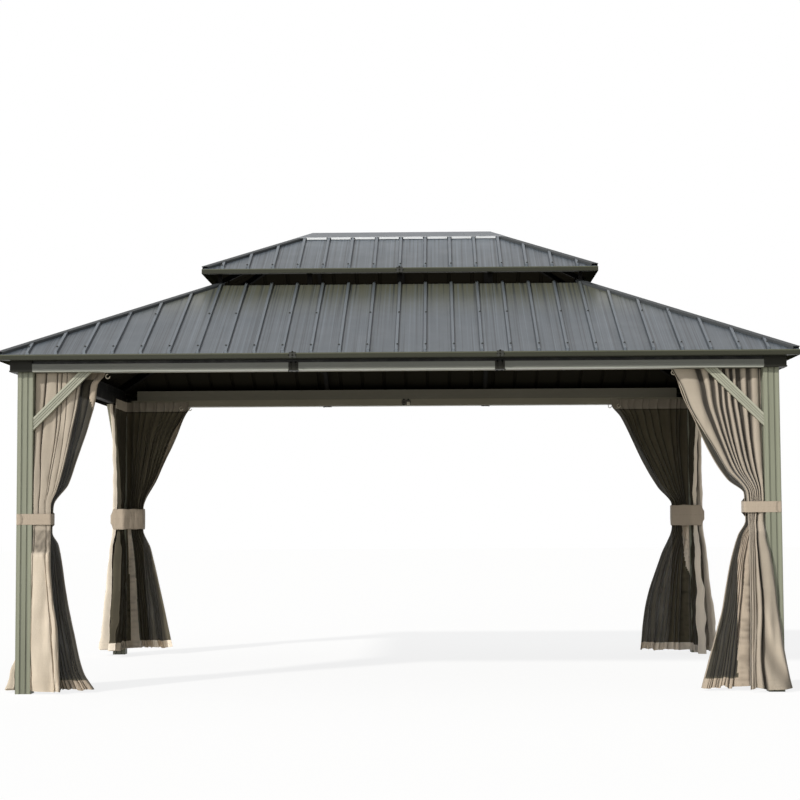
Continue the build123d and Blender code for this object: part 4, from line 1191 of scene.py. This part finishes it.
class GAZEBO_OT_bolts(bpy.types.Operator):
    """Bolt heads on the beam sleeves, fascia clips and track joiners"""
    bl_idname = "gazebo.bolts"
    bl_label = "Bolts"

    def execute(self, context):
        metal = context.scene.gazebo_metal
        dark = finish_named("dark bolt", plain_finish, metal.casting, 0.6, 0.0, 0.05)
        for node, (rows, steps) in BOLTED.items():
            mesh = bmesh.new()
            for middle, half, out in self.plates(node):
                side = Vector((-out.y, out.x, 0))
                for row in range(rows):
                    for step in steps:
                        lift = (row - (rows - 1) / 2) * half.z * BOLT_SPREAD
                        seat = middle + side * step * abs(half.dot(side)) + Vector((0, 0, lift))
                        add_screw(mesh, frame_at(seat, out, side), metal.screw_size * BOLT_SIZE)
            piece(f"{node}_bolts", mesh, [dark])
        return {"FINISHED"}

    def plates(self, node):
        """Middle, half size and outward direction of each plate's face."""
        mesh = bmesh.new()
        mesh.from_mesh(frame["nodes"][node].data)
        loose = set(mesh.verts)
        found = []
        while loose:
            island, edge = set(), {loose.pop()}
            while edge:
                island |= edge
                edge = {e.other_vert(v) for v in edge for e in v.link_edges} - island
            loose -= island
            spots = list(zip(*(vertex.co for vertex in island)))
            low, high = (Vector([pick(values) for values in spots]) for pick in (min, max))
            middle, half = (low + high) / 2, (high - low) / 2
            axis = 0 if half.x < half.y else 1
            sign = math.copysign(1, middle[axis]) * (-1 if node == "rail_joiners" else 1)
            out = Vector((0, 0, 0))
            out[axis] = sign
            middle[axis] += sign * half[axis]
            found.append((middle, half, out))
        mesh.free()
        return sorted(found, key=lambda plate: tuple(plate[0]))


HOOK_WIRE, HOOK_BEND = 0.0028, 0.013  # radius of a hook's wire and of its bend
# Where the two hooks of a net hang, in millimetres: beyond its far edge at the top, into the room, height
HOOKS = ((10, 108, 1941), (-60, 108, 1944))
# The catch, in metres: its width along the track, its depth and height, then its place on the back track
CATCH_SIZE, CATCH_FROM, CATCH_INSET, CATCH_DOWN = (0.024, 0.012, 0.027), 0.006, 0.050, 0.022


class GAZEBO_OT_hooks(bpy.types.Operator):
    """Ivory hooks that hang the nets' free corners on the tracks, and the catch on the back track"""
    bl_idname = "gazebo.hooks"
    bl_label = "Curtain hooks"

    def execute(self, context):
        cloth = context.scene.gazebo_cloth
        ivory = finish_named("ivory hook", plain_finish, cloth.hook, 0.4)
        for number, (corner, (_, table)) in enumerate(PANELS.items()):
            gather = Gather(corner, "x", table, NET_FOLDS, HANGS["back_net"], number)
            mesh = bmesh.new()
            for beyond, inward, height in HOOKS:
                seat = gather.world(table[0][2] + beyond, inward, height)
                ring = bmesh.ops.create_circle(
                    mesh, segments=8, radius=HOOK_WIRE,
                    matrix=Matrix.Translation(seat + Vector((HOOK_BEND, 0, 0))),
                )
                rim = set(ring["verts"])
                bmesh.ops.spin(
                    mesh, geom=[edge for edge in mesh.edges if rim.issuperset(edge.verts)], cent=seat,
                    axis=(0, 1, 0), angle=math.radians(280), steps=20,
                )
            bmesh.ops.remove_doubles(mesh, verts=mesh.verts, dist=0.00002)
            bmesh.ops.recalc_face_normals(mesh, faces=mesh.faces)
            for face in mesh.faces:
                face.smooth = True
            piece(f"net_hooks_{corner}", mesh, [ivory])
        mesh = bmesh.new()
        _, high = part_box("curtain_rails")
        corner = Vector((CATCH_FROM, high[1] - CATCH_INSET, high[2] - CATCH_DOWN))
        wide, deep, tall = CATCH_SIZE
        add_bar(mesh, corner - Vector((0, deep, tall)), corner + Vector((wide, 0, 0)))
        bmesh.ops.bevel(
            mesh, geom=mesh.edges[:], offset=0.003, segments=2, profile=0.5, affect="EDGES", material=-1
        )
        piece("track_catch", mesh, [ivory])
        return {"FINISHED"}


class GAZEBO_OT_curtains(bpy.types.Operator):
    """Eight gathered curtains"""
    bl_idname = "gazebo.curtains"
    bl_label = "Curtains"

    def execute(self, context):
        cloth = context.scene.gazebo_cloth
        woven = finish_named("taupe weave", cloth_finish, cloth.curtain, cloth)
        sunlit_weave = finish_named("pale hem weave", cloth_finish, cloth.edging, cloth)
        for number, (corner, (table, _)) in enumerate(PANELS.items()):
            for along in "xy":
                rows = table if along == "x" else side_curtain(corner)
                folds = FRONT_FOLDS.get(corner, SIDE_FOLDS) if along == "x" else SIDE_FOLDS
                way = HANGS.get(corner, HANGS["back"]) if along == "x" else HANGS["side"]
                gather = Gather(corner, along, rows, folds, way, 11 + number * 2 + (along == "y"))
                name = f"curtain_{corner}_{along}"
                mesh, flat = hang(gather, BULGES.get(name))
                # The back corners' side curtains take the paler cloth as painted sunlight
                painted_sunlit = corner.startswith("back") and along == "y"
                made = piece(name, mesh, [sunlit_weave if painted_sunlit else woven])
                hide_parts(f"curtains_{corner}")
        return {"FINISHED"}


NET_CRIMP = 9.0  # depth of the puckers in a net's band at the post, in millimetres


class GAZEBO_OT_nets(bpy.types.Operator):
    """Eight gathered insect nets with cloth hems"""
    bl_idname = "gazebo.nets"
    bl_label = "Insect nets"

    def execute(self, context):
        cloth = context.scene.gazebo_cloth
        net = finish_named("dark net", net_finish, cloth.netting, cloth)
        hem = finish_named("taupe hem weave", cloth_finish, cloth.tie, cloth)
        pale = finish_named("pale hem weave", cloth_finish, cloth.edging, cloth)
        for number, (corner, (_, table)) in enumerate(PANELS.items()):
            for along in "xy":
                front, side = corner.startswith("front"), along == "y"
                rows = side_net(corner) if side else table
                way = HANGS["front_net" if front else "back_side_net" if side else "back_net"]
                gather = Gather(corner, along, rows, NET_FOLDS, way, 31 + number * 2 + side)
                if not side:
                    gather.widths[1][0] = gather.widths[2][0] = FACING_FOLDS[corner]
                    gather.crimp = NET_CRIMP
                mesh, flat = hang(gather)
                facings = SIDE_FACING if side else NET_FACINGS[corner]
                free_edges = FREE_EDGES.get(f"{corner}_{along}", NO_BAND)
                self.edge(mesh, flat, cloth, gather, facings, free_edges)
                # The back nets' hems and bands take the paler cloth as painted sunlight
                sewn = hem if front else pale
                made = piece(f"net_{corner}_{along}", mesh, [net, sewn])
                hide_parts(f"nettings_{corner}")
        return {"FINISHED"}

    def edge(self, mesh, flat, cloth, gather, facings, free_edges):
        """Gives the hem, the heading and the two edge bands their cloth, without the net's own shade; the
        heading gets painted shade.
        """
        layer = mesh.loops.layers.uv.active
        shaded = mesh.verts.layers.float["shade"]
        width, length = flat
        run = 0 if gather.along == "x" else 1
        sewn, headed = set(), set()
        for face in mesh.faces:
            middle = sum((loop[layer].uv for loop in face.loops), Vector((0, 0))) / len(face.loops)
            spot = face.calc_center_median()
            height = spot.z / MM
            near = smooth_through(gather.table, height)[0]
            from_edge = abs(gather.outer[run] - spot[run]) / MM - POST_SIDE - near
            start, end = smooth_through(facings, height)
            free = smooth_through(free_edges, height)[0] * MM
            heading = middle.y > length - cloth.head
            banded = start <= from_edge < end or middle.x > width - free
            face.material_index = int(heading or banded or middle.y < cloth.hem)
            if face.material_index:
                sewn.update(face.verts)
            if heading:
                headed.update(face.verts)
        for vertex in sewn:
            vertex[shaded] = 0.6 * max(0.0, 1 - (1 - vertex[shaded]) / (1 - gather.shade))
        # Painted shade on the heading, under the track
        for vertex in headed:
            vertex[shaded] = max(vertex[shaded], 0.5 if gather.shade else 0.72)


# Millimetres
LAPPED = 40  # how far a tie band laps over its own start
BAND_REACH = {"front_left": 216, "front_right": 230, "back_left": 238, "back_right": 238}
BAND_OFF, BAND_TURN = 1.2, 103  # its distance from the post, and where it turns across the cloth
HALF_NARROW, HALF_WIDE = 33.5, 80  # half its height on the post and over the cloth
BAND_FLAT = 0.116  # its height on the UV map, in metres


class GAZEBO_OT_ties(bpy.types.Operator):
    """Four tie bands round the posts and their cloth"""
    bl_idname = "gazebo.ties"
    bl_label = "Tie bands"

    def execute(self, context):
        cloth = context.scene.gazebo_cloth
        woven = finish_named("taupe band weave", cloth_finish, cloth.tie, cloth)
        for number, corner in enumerate(CORNERS):
            mesh, flat = self.band(corner, number)
            made = piece(f"band_{corner}", mesh, [woven])
            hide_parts(f"tie_band_{corner}")
        return {"FINISHED"}

    def band(self, corner, number):
        """A strip round the corner's loop, narrow outside and wide over the cloth inside."""
        edge, turn, far = -BAND_OFF, BAND_TURN, BAND_REACH[corner]
        loop = [Vector(p) for p in ((edge, edge), (far, edge), (far, turn), (turn, far), (edge, far))]
        sides = list(zip(loop, loop[1:] + loop[:1]))
        lengths = [(b - a).length for a, b in sides]
        total = sum(lengths)

        def along(distance):
            distance %= total
            for (start, end), length in zip(sides, lengths):
                if distance <= length:
                    return start + (end - start) * distance / length
                distance -= length
            return loop[0]

        mesh = bmesh.new()
        columns, rows = 180, 14
        bmesh.ops.create_grid(mesh, x_segments=columns, y_segments=rows, size=1)
        signs, outer = CORNERS[corner], outer_corner(corner)
        shaded = mesh.verts.layers.float.new("shade")
        spots = {vertex: ((vertex.co.x + 1) / 2, vertex.co.y) for vertex in mesh.verts}
        for vertex, (share, level) in spots.items():
            # The end is cut with rounded corners, and the loop's turns are rounded by a mean of nearby points
            spot = share * (total + LAPPED - 13 * level ** 4)
            window = [along(spot + step) for step in range(-14, 15, 4)]
            plan = sum(window, Vector((0, 0))) / len(window)
            # 0 on the post and 1 over the cloth
            inside = clamp(min(plan.x, plan.y) / (28 if signs[1] > 0 else 70))
            if signs[1] < 0:
                inside *= clamp((far + 4 - max(plan)) / 60)
            inside = inside * inside * (3 - 2 * inside)
            half = HALF_NARROW + (HALF_WIDE - HALF_NARROW) * inside
            ripple = noise.noise((plan.x / 40, plan.y / 40, level * 1.6 + number * 5)) * 2.2 * inside
            wave = noise.noise((plan.x / 60, plan.y / 60, number * 3.3)) * 5 * inside * level
            # It bulges a little over the cloth, and its end lies on its start
            away = ripple + (1 - level * level) * 1.2 * inside + 3.2 * clamp((spot - total + 12) / 14)
            # Painted shadow along the lapped end's rim; the band's long edges are darker too
            vertex[shaded] = 0.30 if share > 0.985 else 0.16 * (abs(level) > 0.86)
            plan = plan + Vector((plan.x - 80, plan.y - 80)).normalized() * away
            vertex.co = (
                outer[0] - signs[0] * plan.x * MM, outer[1] - signs[1] * plan.y * MM,
                (TIE_HEIGHTS[corner] + level * half + wave) * MM,
            )
        long = (total + LAPPED) * MM
        lay_flat(mesh, {
            vertex: (share * long, (level + 1) / 2 * BAND_FLAT) for vertex, (share, level) in spots.items()
        })
        area = sum(face.calc_area() for face in mesh.faces)
        return mesh, (round(long, 2), round(area / long, 3))


class GAZEBO_PT_looks(bpy.types.Panel):
    """Sidebar list of the gazebo's pieces"""
    bl_idname = "GAZEBO_PT_looks"
    bl_label = "Gazebo"
    bl_space_type = "VIEW_3D"
    bl_region_type = "UI"
    bl_category = "Gazebo"

    def draw(self, context):
        for operator in OPERATORS:
            self.layout.operator(operator.bl_idname)
        for settings in (getattr(context.scene, name) for name in SETTINGS):
            box = self.layout.box()
            for name in settings.bl_rna.properties.keys():
                if name not in ("rna_type", "name"):
                    box.prop(settings, name)


SETTINGS = {
    "gazebo_stage": GazeboStageSettings,
    "gazebo_metal": GazeboMetalSettings,
    "gazebo_cloth": GazeboClothSettings,
}
OPERATORS = (
    GAZEBO_OT_stage,
    GAZEBO_OT_finishes,
    GAZEBO_OT_roof_screws,
    GAZEBO_OT_trims,
    GAZEBO_OT_bolts,
    GAZEBO_OT_hooks,
    GAZEBO_OT_curtains,
    GAZEBO_OT_nets,
    GAZEBO_OT_ties,
)


def register():
    for made in (*SETTINGS.values(), *OPERATORS, GAZEBO_PT_looks):
        bpy.utils.register_class(made)
    for name, settings in SETTINGS.items():
        setattr(bpy.types.Scene, name, bpy.props.PointerProperty(type=settings))


def unregister():
    for name in SETTINGS:
        delattr(bpy.types.Scene, name)
    for made in (GAZEBO_PT_looks, *reversed(OPERATORS), *SETTINGS.values()):
        bpy.utils.unregister_class(made)


def main():
    register()
    for operator in OPERATORS:
        group, name = operator.bl_idname.split(".")
        getattr(getattr(bpy.ops, group), name)()


if __name__ == "__main__":
    main()
